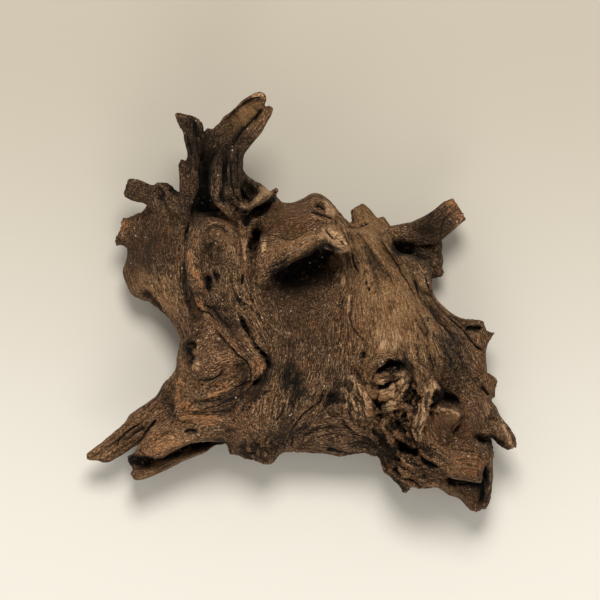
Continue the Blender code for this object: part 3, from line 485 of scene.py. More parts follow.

# Patches of another colour, by the mark that they leave: radius in cells, strength, path of the middle. Some
# of them paint light or shade, as said at each.
PATCHES = {
    "tan": [
        (5, 1, "336,248 346,247"), (8, 0.7, "326,236 336,240"), (6, 1, "244,210 256,201 267,193"),
        (2.4, 0.6, "244,238 244,258"), (3, 0.7, "263,240 264,249"), (6, 0.8, "352,380 366,402"),
        (5, 1, "344,392 354,406 366,420"), (5, 0.9, "401,376 405,386"), (6, 0.9, "430,386 427,400 419,420"),
        (4, 0.6, "417,430 420,442"), (2, 0.9, "438,408 448,409 459,413"), (5, 0.6, "382,336 385,344"),
        (4, 0.6, "396,336 395,348"), (6, 0.6, "390,402 388,410"), (3, 0.7, "196,349 196,366"),
        (1.4, 0.45, "265,320 276,328 292,334"), (4, 0.35, "232,248 236,262"), (5, 0.5, "326,205 331,212"),
        (2, 0.7, "452,480 470,482 480,482"), (3, 0.6, "506,428 512,444"), (3, 0.3, "485,402 487,412"),
        (2, 0.4, "346,296 348,312"), (3, 0.6, "341,276 344,282"), (3, 0.6, "252,96 264,95"),
        (8, 0.5, "384,384 396,396"),
    ],
    "orange": [
        (6, 0.9, "196,303 198,312"), (4, 0.8, "190,252 196,272 202,286"),
        (3, 0.9, "181,381 178,394 181,416"), (7, 1, "190,408 196,416 214,419"), (5, 0.8, "212,394 226,388"),
        (10, 0.5, "150,452 172,442"), (12, 0.5, "460,462 480,466"), (5, 0.9, "124,225 124,231"),
        (3, 0.7, "177,116 180,118"), (5, 0.5, "452,202 460,213"), (6, 0.5, "256,362 264,370"),
        (8, 0.4, "290,356 306,366"), (5, 0.3, "124,185 128,188"), (4, 0.5, "440,318 448,328"),
        (14, 0.5, "352,396 366,416"), (9, 0.5, "424,396 418,420"), (14, 0.4, "388,384 396,396"),
    ],
    # Painted shade on shaded sides, such as the horns, the left shoulder and the right stub's underside,
    # together with dark stains
    "broad_shade_and_stain": [
        (18, 0.8, "130,190 172,200"), (9, 0.6, "190,124 194,152"), (12, 0.8, "208,140 208,164"),
        (9, 1, "248,182 250,196"), (32, 1, "205,150 235,150 245,190"), (32, 1, "195,130 195,200"),
        (34, 0.8, "430,230 425,255"), (48, 0.65, "290,300 310,360"), (40, 0.6, "295,425 360,435"),
        (30, 0.5, "460,430 475,475"), (24, 0.6, "212,255 222,292"), (12, 0.9, "432,218 426,240 432,262"),
        (34, 0.75, "146,232 155,256"), (16, 1, "452,342 460,376"), (10, 0.7, "166,400 172,414"),
        (13, 0.7, "366,428 386,446"), (7, 0.6, "410,404 402,430"), (10, 0.6, "260,418 276,417"),
        (16, 1, "286,366 300,392"), (12, 0.6, "320,285 345,262"), (6, 0.8, "242,362 244,378"),
        (7, 0.6, "218,340 224,348"), (6, 0.7, "228,312 236,324"), (6, 0.5, "268,328 280,338"),
        (7, 0.7, "492,404 496,416"), (10, 0.5, "216,255 218,295"), (8, 0.5, "190,225 184,250"),
        (8, 0.5, "400,468 420,480"), (12, 0.9, "334,372 342,392"), (10, 0.5, "455,425 466,432"),
        (5, 0.6, "126,435 146,428"), (12, 0.4, "460,385 470,396"), (5, 0.8, "119,238 124,240"),
        (8, 0.9, "396,478 405,492"), (4, 0.6, "223,160 223,196"),
    ],
    # Painted light on lit faces, such as the cone's face, the back flap's ridge, the knot and the right
    # shoulder, together with sun-bleached wood
    "light": [
        (36, 1, "358,240 384,285 400,325"), (20, 0.7, "396,262 420,300"), (10, 0.6, "95,456 150,416"),
        (4, 1, "150,470 165,464 185,455 210,446"), (9, 0.7, "150,448 188,436"),
        (9, 0.7, "272,252 300,243 322,232"), (9, 0.9, "438,416 452,416"),
        (6, 0.8, "205,240 216,233 230,240"), (17, 0.9, "150,284 166,306"), (5, 0.9, "175,198 173,228"),
        (30, 0.9, "390,388 396,404"), (16, 0.3, "205,235 225,260 232,300"), (12, 0.4, "456,458 478,464"),
        (7, 0.5, "276,345 270,366"), (8, 0.5, "240,108 234,128"), (4, 0.5, "265,114 238,142 229,160"),
        (10, 0.4, "245,330 258,352"), (7, 1, "228,132 242,118 256,106"),
    ],
    # Painted black shade in holes, slots, cracks, the hollow under the lip and under the flaps, with some
    # dark stain
    "black_shade_and_stain": [
        (0.9, 1, "262,111 243,130 228,151"), (1.3, 1, "225.5,158 224.5,170 225,196"),
        (3, 0.9, "224,194 223,200"), (1.2, 0.7, "230,119 244,105 260,99"),
        (25, 0.38, "194,150 215,160 230,170"), (5, 0.8, "188,343 190,352 191,361"),
        (6, 1, "382,370 392,366 400,366"), (9, 0.5, "300,374 298,386"), (6, 0.9, "330,396 336,398"),
        (9, 0.7, "440,396 450,400"), (4, 1, "436,394 433,403"), (5, 1, "400,447 416,450"),
        (4, 1, "412,385 408,397"), (8, 1, "204,172 204,210"), (6, 1, "196,208 214,212"),
        (4, 1, "223,196 224,200"), (6, 0.7, "257,235 252,250"), (8, 1, "399,247 409,249"),
        (12, 1, "282,276 300,268 326,254"), (14, 0.7, "285,285 320,274"),
        (1.2, 1, "254,384 265,375 270,367 268,358 257,348"), (0.7, 1, "257,348 249,331 241,317"),
        (3, 0.9, "191,345 193,362"), (6, 1, "132,461 150,462"), (3, 1, "150,461 170,455 190,447 224,442"),
        (3, 1, "197,124 199,138"), (3, 1, "274,197 262,207 248,215"), (5, 1, "245,215 245,222"),
        (3, 0.8, "163,191 161,197"), (3, 0.8, "173,188 176,192"), (5, 0.8, "414,250 420,256"),
        (4, 1, "478,438 487,440"), (2.5, 0.5, "186,430 194,431"), (4, 0.7, "390,424 394,427"),
        (3, 1, "466,328 479,328"), (3, 0.9, "450,482 478,485"), (3, 0.9, "486,468 487,486"),
        (4, 0.8, "492,438 502,445"), (3, 0.9, "214,274 218,277"), (3, 0.9, "208,277 209,289"),
    ],
}


def linear(code):
    """Turn an sRGB colour such as #8a6f52 into the linear colour that a shader takes."""
    colour = []
    for place in (1, 3, 5):
        share = int(code[place:place + 2], 16) / 255
        colour.append(share / 12.92 if share <= 0.04045 else ((share + 0.055) / 1.055) ** 2.4)
    return colour + [1.0]


def place(column, row, height):
    """Give the point of a sketch cell at a height in millimetres."""
    x = (column - SKETCH_CENTRE[0]) * CELL
    y = (SKETCH_CENTRE[1] - row) * CELL
    return Vector((x, y, height * MILLIMETRE))


def flat_place(column, row):
    return np.array(place(column, row, 0)[:2])


def object_from(name, mesh):
    thing = bpy.data.objects.new(name, mesh)
    bpy.context.scene.collection.objects.link(thing)
    return thing


def mesh_from(name, shape):
    """Turn a bmesh into a mesh with its faces pointing out."""
    bmesh.ops.recalc_face_normals(shape, faces=shape.faces)
    mesh = bpy.data.meshes.new(name)
    shape.to_mesh(mesh)
    shape.free()
    return mesh


def shaped(name, mesh, modifiers):
    """Give the mesh that a list of modifiers makes of a mesh."""
    thing = object_from(name, mesh)
    for kind, settings in modifiers:
        modifier = thing.modifiers.new(kind.lower(), kind)
        for setting, value in settings.items():
            setattr(modifier, setting, value)
    settled = thing.evaluated_get(bpy.context.evaluated_depsgraph_get())
    result = bpy.data.meshes.new_from_object(settled)
    bpy.data.objects.remove(thing, do_unlink=True)
    bpy.data.meshes.remove(mesh)
    return result


def even_skin(size):
    """A Remesh modifier that joins what overlaps under one evenly spaced skin."""
    return ("REMESH", {"mode": "VOXEL", "voxel_size": size, "adaptivity": 0.0})


def read(collection, field):
    """Give a vector field of all the parts of a mesh, one row to a part."""
    values = np.empty(len(collection) * 3, dtype=np.float32)
    collection.foreach_get(field, values)
    return values.reshape(-1, 3).astype(float)


def move_points(mesh, points):
    mesh.vertices.foreach_set("co", points.astype(np.float32).ravel())
    mesh.update()


def distance_to_path(spots, path, closed=False):
    """Give each point's distance to a flat path, the side it is on and how far along it is."""
    corners = [flat_place(*cell) for cell in path]
    ends = corners[1:] + corners[:1] if closed else corners[1:]
    nearest = np.full(len(spots), np.inf)
    side = np.ones(len(spots))
    along = np.zeros(len(spots))
    for number, (start, end) in enumerate(zip(corners, ends)):
        step = end - start
        away = spots - start
        share = np.clip(away @ step / (step @ step), 0, 1)
        distance = np.linalg.norm(away - share[:, None] * step, axis=1)
        closer = distance < nearest
        nearest[closer] = distance[closer]
        along[closer] = number + share[closer]
        side[closer] = np.sign(step[0] * away[closer, 1] - step[1] * away[closer, 0])
    return nearest, side, along / len(ends)


def height_surface(spots, table, level):
    """Carry a smooth surface through the heights of a table, and read it at each spot."""
    softness = SURFACE_SOFTNESS * CELL
    knots = np.array([flat_place(column, row) for column, row, *_ in table])
    heights = np.array([entry[2 + level] for entry in table]) * MILLIMETRE
    average = heights.mean()
    between = np.linalg.norm(knots[:, None] - knots[None], axis=2)
    weights = np.linalg.solve(np.hypot(between, softness), heights - average)
    result = np.full(len(spots), average)
    for knot, weight in zip(knots, weights):
        result += weight * np.hypot(np.linalg.norm(spots - knot, axis=1), softness)
    return result


def slab(name, rim, outline, table, spacing):
    """Grow a round-edged slab inside an outline, between its underside and its top heights."""
    shape = bmesh.new()
    corners = [shape.verts.new(place(*cell, -SLAB_HALF / MILLIMETRE)) for cell in outline]
    base = shape.faces.new(corners)
    grown = bmesh.ops.extrude_face_region(shape, geom=[base])["geom"]
    risen = [part for part in grown if isinstance(part, bmesh.types.BMVert)]
    bmesh.ops.translate(shape, verts=risen, vec=(0, 0, 2 * SLAB_HALF))
    mesh = shaped(name, mesh_from(name, shape), [even_skin(spacing)])
    points = read(mesh.vertices, "co")
    spots = points[:, :2]
    edge_distance, _, _ = distance_to_path(spots, outline, closed=True)
    underside = height_surface(spots, table, 0)
    top = height_surface(spots, table, 1)
    inward = np.clip(edge_distance / (rim * MILLIMETRE), LEAST_INWARD, 1)
    fullness = np.sqrt(1 - (1 - inward) ** 2)
    rise = np.clip(points[:, 2] / SLAB_HALF, -1, 1)
    points[:, 2] = (underside + top) / 2 + (top - underside) / 2 * fullness * rise
    move_points(mesh, points)
    return mesh


def limb(name, squareness, stations):
    """Grow a closed limb through its stations, each an oval across the way the limb runs."""
    shape = bmesh.new()
    bmesh.ops.create_circle(shape, cap_ends=True, segments=LIMB_SIDES, radius=1)
    end = shape.faces[:][0]
    power = 2 / squareness
    oval = [[math.copysign(abs(share) ** power, share) / 2 for share in corner.co[:2]]
            for corner in end.verts]
    centres = [place(*station[:3]) for station in stations]
    for number, (_, _, _, width, thickness) in enumerate(stations):
        before = centres[max(number - 1, 0)]
        after = centres[min(number + 1, len(centres) - 1)]
        along = (after - before).normalized()
        across = along.cross(Vector((0, 0, 1))).normalized()
        upward = across.cross(along).normalized()
        if number:
            grown = bmesh.ops.extrude_face_region(shape, geom=[end])["geom"]
            end = [part for part in grown if isinstance(part, bmesh.types.BMFace)][0]
        for corner, (sideways, up) in zip(end.verts, oval):
            shift = across * (sideways * width) + upward * (up * thickness)
            corner.co = centres[number] + shift * MILLIMETRE
    return mesh_from(name, shape)


def joined(name, meshes):
    """Put several closed shapes into one mesh, still apart."""
    shape = bmesh.new()
    for mesh in meshes:
        shape.from_mesh(mesh)
        bpy.data.meshes.remove(mesh)
    mesh = bpy.data.meshes.new(name)
    shape.to_mesh(mesh)
    shape.free()
    return mesh


LATTICE_SIDE = 64
LATTICE = np.random.RandomState(7).uniform(-1, 1, (LATTICE_SIDE,) * 3)
SEED_SHIFT = 17.31                 # cells of the lattice between one seed and the next


def blotches(points, size, seed):
    """Smooth noise from -1 to 1, with blotches of a size in millimetres."""
    spots = points / (size * MILLIMETRE) + seed * SEED_SHIFT
    cells = np.floor(spots).astype(int)
    share = spots - cells
    share = share * share * (3 - 2 * share)
    total = np.zeros(len(points))
    for corner in product((0, 1), repeat=3):
        weight = np.ones(len(points))
        for axis in range(3):
            weight *= share[:, axis] if corner[axis] else 1 - share[:, axis]
        x, y, z = ((cells + corner) % LATTICE_SIDE).T
        total += weight * LATTICE[x, y, z]
    return total


def frayed(points, frays):
    """Shift points to the side by smooth noise, so that what is drawn through them has a ragged outline."""
    spots = points[:, :2].copy()
    for reach, size, seeds in frays:
        spots += reach * np.stack([blotches(points, size, seed) for seed in seeds], axis=1)
    return spots


def ring(column, row, radius):
    """Give a closed path about a cell."""
    turns = np.linspace(0, 2 * math.pi, RING_POINTS)
    return [(column + radius * math.cos(turn), row + radius * math.sin(turn)) for turn in turns]


class Grain:
    """The direction of the grain all over the skin, kept in a coarse box of cells."""

    def __init__(self, points, normals):
        lines = GRAIN_LINES + [ring(*knot) for knot in GRAIN_RINGS]
        self.low = points.min(axis=0) - FLOW_CELL
        counts = np.ceil((points.max(axis=0) - self.low) / FLOW_CELL).astype(int) + 2
        flat = self.flat_directions(lines, counts)
        cells = self.cell_of(points)
        along = flat[cells[:, 0], cells[:, 1]]
        along -= normals * np.sum(along * normals, axis=1, keepdims=True)
        along /= np.linalg.norm(along, axis=1, keepdims=True) + 1e-9
        self.box = np.zeros((*counts, 3))
        self.box[cells[:, 0], cells[:, 1], cells[:, 2]] = along
        self.along = along

    def cell_of(self, points):
        return np.floor((points - self.low) / FLOW_CELL).astype(int)

    def flat_directions(self, lines, counts):
        """Average the directions of the grain lines near each cell, whichever way they point."""
        columns, rows = np.meshgrid(np.arange(counts[0]), np.arange(counts[1]), indexing="ij")
        spots = np.stack([columns, rows], axis=-1) * FLOW_CELL + self.low[:2] + FLOW_CELL / 2
        double = np.zeros((counts[0], counts[1], 2))
        spread = FLOW_SPREAD * CELL
        for line in lines:
            corners = [flat_place(*cell) for cell in line]
            for start, end in zip(corners, corners[1:]):
                step = end - start
                share = np.clip((spots - start) @ step / (step @ step), 0, 1)
                distance = np.linalg.norm(spots - start - share[..., None] * step, axis=-1)
                turn = 2 * math.atan2(step[1], step[0])
                weight = np.exp(-(distance / spread) ** 2) + FLOW_TAIL / (1 + (distance / spread) ** 2)
                double += weight[..., None] * np.array([math.cos(turn), math.sin(turn)])
        turn = np.arctan2(double[..., 1], double[..., 0]) / 2
        return np.stack([np.cos(turn), np.sin(turn), np.zeros_like(turn)], axis=-1)

    def headings(self, points, before):
        """Give the direction at each point that carries on from the one before."""
        cells = np.clip(self.cell_of(points), 0, np.array(self.box.shape[:3]) - 1)
        found = self.box[cells[:, 0], cells[:, 1], cells[:, 2]]
        empty = np.abs(found).sum(axis=1) < 0.5
        found = np.where(empty[:, None], before, found)
        turned = np.sum(found * before, axis=1) < 0
        found[turned] *= -1
        return found

    def fibres(self, points, size, length, seed):
        """Noise drawn out along the grain, of a width and a length in millimetres and a spread of 1."""
        stride = size * FIBRE_STRIDE
        count = int(length / 2 / stride)
        total = blotches(points, size, seed)
        for way in (1, -1):
            spots = points.copy()
            heading = self.along * way
            for number in range(1, count + 1):
                spots += heading * (stride * MILLIMETRE)
                heading = self.headings(spots, heading)
                total += math.cos(math.pi / 2 * number / (count + 1)) ** 2 * blotches(spots, size, seed)
        return total / total.std()

    def ways(self):
        """Give how nearly the grain runs in each of the set directions, flat ones and the upright one."""
        turns = np.pi * np.arange(FLAT_WAYS) / FLAT_WAYS
        flat = self.along[:, :1] * np.cos(turns) + self.along[:, 1:2] * np.sin(turns)
        nearness = np.abs(np.concatenate([flat, self.along[:, 2:]], axis=1)) ** WAY_SHARPNESS
        return nearness / np.linalg.norm(nearness, axis=1, keepdims=True)


def stroke_rise(points, strokes):
    """Give the height that the strokes add at each point, in millimetres, and how deep in a crack it is."""
    rise = np.zeros(len(points))
    cracked = np.zeros(len(points))
    for kind, width, height, path in strokes:
        corners = np.array([flat_place(*cell) for cell in path])
        reach = 4 * width * MILLIMETRE
        low, high = corners.min(axis=0) - reach, corners.max(axis=0) + reach
        near = np.all((points[:, :2] > low) & (points[:, :2] < high), axis=1)
        distance, side, along = distance_to_path(points[near, :2], path)
        away = distance / (width * MILLIMETRE)
        taper = np.clip(np.minimum(along, 1 - along) * FADE_RATE + FADE_START, 0, 1)
        if kind == "hole":
            taper = 1.0
            profile = np.exp(-away ** 4)
        elif kind == "fold":
            profile = np.exp(-away ** 2)
        elif kind == "crack":
            profile = np.exp(-(CRACK_TIGHTNESS * away) ** 2)
            darkness = min(1, -height / DARKEST_CRACK)
            cracked[near] = np.maximum(cracked[near], taper * profile * darkness)
        else:
            profile = np.where(side > 0, np.exp(-away), -LEDGE_DIP * np.exp(-2 * away))
        rise[near] += height * taper * profile
    return rise, cracked


def facing_up(normals):
    """Give 1 where the skin faces up, fading to 0 where it turns down."""
    return np.clip((normals[:, 2] - STEEPEST) / 0.5, 0, 1) ** 0.5


def split_near_cracks(mesh):
    """Split the faces along the cracks, so that the cracks come out narrow and sharp."""
    points = read(mesh.vertices, "co")
    near = np.zeros(len(points), dtype=bool)
    for kind, width, _, path in STROKES:
        if kind == "crack":
            corners = np.array([flat_place(*cell) for cell in path])
            reach = CRACK_MARGIN + width * MILLIMETRE / 2
            box = np.all((points[:, :2] > corners.min(axis=0) - reach) &
                         (points[:, :2] < corners.max(axis=0) + reach), axis=1)
            found = np.flatnonzero(box)
            distance, _, _ = distance_to_path(points[found, :2], path)
            near[found[distance < reach]] = True
    near &= read(mesh.vertices, "normal")[:, 2] > STEEPEST
    both = near[read_edges(mesh)].all(axis=1)
    shape = bmesh.new()
    shape.from_mesh(mesh)
    edges = [edge for edge, wanted in zip(shape.edges, both) if wanted]
    bmesh.ops.subdivide_edges(shape, edges=edges, cuts=1, use_grid_fill=True)
    bmesh.ops.triangulate(shape, faces=[face for face in shape.faces if len(face.verts) > 4])
    shape.to_mesh(mesh)
    shape.free()


def neighbour_means(points, edges, times):
    """Even out values over the skin by averaging each point with its neighbours."""
    both = np.concatenate([edges, edges[:, ::-1]])
    count = np.bincount(both[:, 0], minlength=len(points))
    for _ in range(times):
        gathered = [np.bincount(both[:, 0], weights=column[both[:, 1]], minlength=len(points))
                    for column in points.T]
        points = 0.5 * points + 0.5 * np.stack(gathered, axis=1) / count[:, None]
    return points


def read_edges(mesh):
    edges = np.empty(len(mesh.edges) * 2, dtype=np.int32)
    mesh.edges.foreach_get("vertices", edges)
    return edges.reshape(-1, 2)


def hollowness(mesh, times):
    """Give how far each point lies below the evened skin around it, in millimetres."""
    points = read(mesh.vertices, "co")
    normals = read(mesh.vertices, "normal")
    evened = neighbour_means(points, read_edges(mesh), times)
    return np.sum((evened - points) * normals, axis=1) / MILLIMETRE


def store(mesh, name, values):
    """Keep one number for each point, for the material to read."""
    attribute = mesh.attributes.new(name, "FLOAT", "POINT")
    attribute.data.foreach_set("value", values.astype(np.float32))


def roughness_at(points):
    """Give how torn and knotty the wood is at each point, from 0 to 1, and how smoothly it is worn."""
    rough = np.zeros(len(points))
    for column, row, radius, strength in ROUGH_PLACES:
        distance = np.linalg.norm(points[:, :2] - flat_place(column, row), axis=1) / (radius * CELL)
        rough += strength * np.exp(-distance ** 3)
    return np.clip(rough, 0, 1), np.clip(-rough, 0, 1)


def sawtooth(waves):
    """Turn smooth waves into plates that slope gently up to a steep edge."""
    share = waves - np.floor(waves)
    edge = np.clip((share - (1 - PLATE_EDGE)) / PLATE_EDGE, 0, 1)
    return edge * edge * (3 - 2 * edge) - share


def grow_wood(sizes):
    """Grow the whole piece and give the mesh of its skin, with its marks for the colours."""
    growth = [slab("body", BODY_RIM, BODY_OUTLINE, BODY_HEIGHTS, sizes.slab_spacing)]
    growth += [slab(*sheet, sizes.slab_spacing) for sheet in SHEETS]
    growth += [limb(*stations) for stations in LIMBS]
    mesh = shaped("skin", joined("growth", growth), [even_skin(sizes.skin_spacing * FIRST_SKIN)])
    points = read(mesh.vertices, "co")
    normals = read(mesh.vertices, "normal")
    rough, _ = roughness_at(points)
    lumps = np.full(len(points), SWELL)
    for even, torn, size, seed in LUMPS:
        lumps += (even + torn * rough) * blotches(points, size, seed)
    broad = [stroke for stroke in STROKES if stroke[0] in ("fold", "ledge")]
    lumps += facing_up(normals) * stroke_rise(points, broad)[0]
    holes = [stroke for stroke in STROKES if stroke[0] == "hole"]
    sunk = stroke_rise(frayed(points, HOLE_FRAYS), holes)[0]
    points += normals * (lumps * MILLIMETRE)[:, None]
    points[:, 2] += np.where(normals[:, 2] > 0, sunk, 0) * MILLIMETRE
    move_points(mesh, points)
    mesh = shaped("skin", mesh, [even_skin(sizes.skin_spacing)])
    # The hollows are darkened in the material as painted shade with some dirt, and the proud spots are
    # lightened as wear.
    store(mesh, "hollow", hollowness(mesh, HOLLOW_ROUNDS))
    split_near_cracks(mesh)
    points = read(mesh.vertices, "co")
    normals = read(mesh.vertices, "normal")
    grain = Grain(points, normals)
    rough, calm = roughness_at(points)
    ragged = np.clip(0.5 + RAGGED_CONTRAST * blotches(points, RAGGED_SIZE, 10), 0, 1) * (1 - calm)
    rise = np.zeros(len(points))
    for width, length, seed, even, dry, torn in FIBRES:
        rise += (even + dry * ragged + torn * rough) * grain.fibres(points, width, length, seed)
    split = np.exp(-(grain.fibres(points, *SEAMS) / SEAM_WIDTH) ** 2) * ragged
    rise += TATTER_HEIGHT * rough * (np.abs(grain.fibres(points, *TATTERS)) - TATTER_LEVEL)
    plates = sawtooth(PLATE_CROWDING * grain.fibres(points, *PLATES))
    rise += (PLATE_HEIGHT * ragged + TORN_PLATE_HEIGHT * rough) * plates
    rise -= SEAM_DEPTH * split
    kept = np.where(normals[:, 2] < UNDERSIDE, UNDERSIDE_HEIGHT, 1.0)
    rise *= (1 - WORN_AWAY * calm) * sizes.grain_height * kept
    sunk, cracked = stroke_rise(points, [stroke for stroke in STROKES if stroke[0] == "crack"])
    store(mesh, "relief", rise)
    store(mesh, "calm", calm)
    # The crack mark is darkened in the material as painted shade with some dirt.
    store(mesh, "crack", np.maximum(cracked * facing_up(normals), SEAM_SHADE_AND_DIRT * split))
    rise += facing_up(normals) * sunk
    move_points(mesh, points + normals * (rise * MILLIMETRE)[:, None])
    paint(mesh)
    return mesh


def drop_strays(mesh):
    """Take away the loose flakes that thinning leaves behind, each two faces back to back."""
    shape = bmesh.new()
    shape.from_mesh(mesh)
    strays = []
    for face in shape.faces:
        touching = {other for edge in face.edges for other in edge.link_faces}
        if len(touching) <= 2:
            strays.append(face)
    bmesh.ops.delete(shape, geom=strays, context="FACES")
    shape.to_mesh(mesh)
    shape.free()


def paint(mesh):
    """Mark the patches of other colours, and the patches of painted light and shade."""
    points = read(mesh.vertices, "co")
    spots = frayed(points, PATCH_FRAYS)
    for name, patches in PATCHES.items():
        mark = np.zeros(len(points))
        for radius, strength, path in patches:
            distance = distance_to_path(spots, groups(path))[0] / (radius * CELL)
            mark = np.maximum(mark, strength * np.exp(-distance ** 3))
        store(mesh, name, mark)


def mark_ways(mesh):
    """Mark how nearly the grain runs in each of the set directions, three to an attribute."""
    grain = Grain(read(mesh.vertices, "co"), read(mesh.vertices, "normal"))
    found = grain.ways()
    ways = np.zeros((len(found), 3 * WAY_MARKS), dtype=np.float32)
    ways[:, :found.shape[1]] = found
    for number in range(WAY_MARKS):
        attribute = mesh.attributes.new(f"ways_{number}", "FLOAT_VECTOR", "POINT")
        attribute.data.foreach_set("vector", ways[:, 3 * number:3 * number + 3].ravel())


def add_node(tree, kind, settings=None, links=None):
    """Add a node, set its properties and inputs, and link its inputs to other nodes' outputs."""
    node = tree.nodes.new(kind)
    for key, value in (settings or {}).items():
        if isinstance(key, str) and hasattr(node, key):
            setattr(node, key, value)
        else:
            node.inputs[key].default_value = value
    for key, output in (links or {}).items():
        tree.links.new(output, node.inputs[key])
    return node


def streaks(tree, spots, width, length, detail, seed):
    """Draw noise out along the grain: one for each set direction, weighed by the marks on the skin."""
    turns = [math.pi * way / FLAT_WAYS for way in range(FLAT_WAYS)]
    drawn = [(turn, (length, width, width)) for turn in turns] + [(0.0, (width, width, length))]
    streaked = []
    for turn, size in drawn:
        settings = {"vector_type": "TEXTURE", "Location": [seed * shift for shift in STREAK_SHIFT],
                    "Rotation": (0, 0, turn), "Scale": [share * MILLIMETRE for share in size]}
        along = add_node(tree, "ShaderNodeMapping", settings, {"Vector": spots}).outputs["Vector"]
        settings = {"Scale": 1.0, "Detail": detail, "Roughness": STREAK_ROUGHNESS}
        value = add_node(tree, "ShaderNodeTexNoise", settings, {"Vector": along}).outputs["Fac"]
        centred = add_node(tree, "ShaderNodeMath", {"operation": "SUBTRACT", 1: 0.5}, {0: value})
        streaked.append(centred.outputs[0])
    total = None
    for number in range(WAY_MARKS):
        links = dict(enumerate(streaked[3 * number:3 * number + 3]))
        three = add_node(tree, "ShaderNodeCombineXYZ", {}, links).outputs[0]
        ways = add_node(tree, "ShaderNodeAttribute", {"attribute_name": f"ways_{number}"}).outputs["Vector"]
        weighed = add_node(tree, "ShaderNodeVectorMath", {"operation": "DOT_PRODUCT"}, {0: three, 1: ways})
        if total is None:
            total = weighed.outputs["Value"]
        else:
            links = {0: total, 1: weighed.outputs["Value"]}
            total = add_node(tree, "ShaderNodeMath", {"operation": "ADD"}, links).outputs[0]
    return total


# Spots of uneven colour all through the wood: name, size in millimetres, detail, roughness. Real grit is
# 0.1 to 0.3 mm across, too fine to show, so it is drawn at 0.8 mm, about one cell of the sketch.
SPOTS = [("stain", 34, 4, 0.6), ("mottle", 12, 5, 0.65), ("fleck", 4, 5, 0.6), ("speck", 1.7, 2, 0.6),
         ("grit", 0.8, 1, 0.5)]

# Streaks along the grain: name, width and length in millimetres, detail, seed. Real fibres are 0.02 to
# 0.1 mm wide, so the finest streaks stand for bundles of them, drawn as coarse as they need to show.
STREAKS = [("hair", 0.5, 11, 1, 1), ("fine", 1.1, 22, 2, 4), ("broad", 2.6, 40, 1, 7),
           ("check", 3.4, 56, 1, 9)]

# Colours laid over each other: colour, value, from, to, strength, then a value that breaks it up, from, to.
# "fibre" is the fine streaks and the flecks together, and "glint" is how near a painted glint is, a tiny pale
# speck.
LAYERS = [
    ("brown", "mottle", 0.35, 0.62, 1.0, None, 0, 0),
    ("deep", "fleck", 0.44, 0.3, 0.7, None, 0, 0),
    ("russet", "stain", 0.5, 0.64, 0.7, None, 0, 0),
    ("olive", "stain", 0.5, 0.36, 0.7, None, 0, 0),
    ("greyed", "broad", -0.1, 0.18, 0.6, None, 0, 0),
    # Painted light and sun-bleached wood on the light patches
    ("light", "light", 0.1, 0.9, 0.85, "mottle", 0.3, 0.5),
    ("worn", "fleck", 0.54, 0.7, 0.55, None, 0, 0),
    ("worn", "fine", 0.02, 0.2, 0.6, "calm", 1.0, 0.2),
    ("dark_stain_and_shade", "fine", -0.02, -0.2, 0.6, "calm", 1.0, 0.2),
    ("worn", "relief", 0.2, 1.2, 0.8, "fleck", 0.35, 0.6),
    ("worn", "hollow", -0.2, -1.0, 0.9, "fleck", 0.35, 0.6),
    ("orange", "orange", 0.1, 0.6, 0.95, "fibre", -0.12, 0.02),
    ("tan", "tan", 0.15, 0.5, 0.9, "fibre", -0.08, 0.05),
    # Painted shade and dark stain on the broad shade patches
    ("dark_stain_and_shade", "broad_shade_and_stain", 0.1, 0.9, 0.85, "mottle", 0.75, 0.45),
    ("dark_stain_and_shade", "check", 0.02, 0.0, 0.8, "mottle", 0.4, 0.6),
    ("pale", "hair", 0.05, 0.2, 0.85, "calm", 1.2, 0.1),
    ("dark", "hair", -0.05, -0.2, 0.85, "calm", 1.2, 0.1),
    ("dark", "speck", 0.44, 0.26, 0.6, "calm", 1.2, 0.1),
    ("pale", "speck", 0.56, 0.74, 0.6, "calm", 1.2, 0.1),
    ("dark", "grit", 0.43, 0.22, 0.8, None, 0, 0),
    ("grit_and_glint", "grit", 0.6, 0.86, 0.8, "mottle", 0.4, 0.58),
    # A last darkening of painted shade over the broad shade patches
    ("dark", "broad_shade_and_stain", 0.4, 1.0, 0.45, None, 0, 0),
    ("tan", "tan", 0.15, 0.6, 0.6, "hair", -0.1, 0.1),
    # Painted shade in the grooves between raised fibres
    ("dark", "relief", -0.2, -1.1, 0.8, None, 0, 0),
    # Painted shade with some dirt in the hollows
    ("dark", "hollow", 0.1, 1.1, 0.85, None, 0, 0),
    # Painted black shade in holes, slots and cracks, with some dark stain
    ("dark", "black_shade_and_stain", 0.1, 0.8, 1.0, "fleck", 0.3, 0.45),
    # Painted shade with some dirt in the cracks and splits
    ("dark", "crack", 0.12, 0.5, 1.0, None, 0, 0),
    # Painted glints: tiny pale specks
    ("grit_and_glint", "glint", 0.13, 0.08, 0.75, "mottle", 0.5, 0.56),
]
MARKS = ("relief", "hollow", "crack", "calm", *PATCHES)
GLINT_SPACING = 5.5                # millimetres between painted glints, tiny pale specks
WOOD_SPECULAR = 0.15               # dry wood without a finish hardly reflects
WOOD_ROUGHNESS = (0.65, 0.9)       # on its smoother and on its grittier spots
BUMP_HEIGHT = 1.4                  # millimetres, of the fibres that are finer than the mesh
BUMP_SHARES = (("hair", 1.1), ("grit", 0.5), ("speck", 0.8))


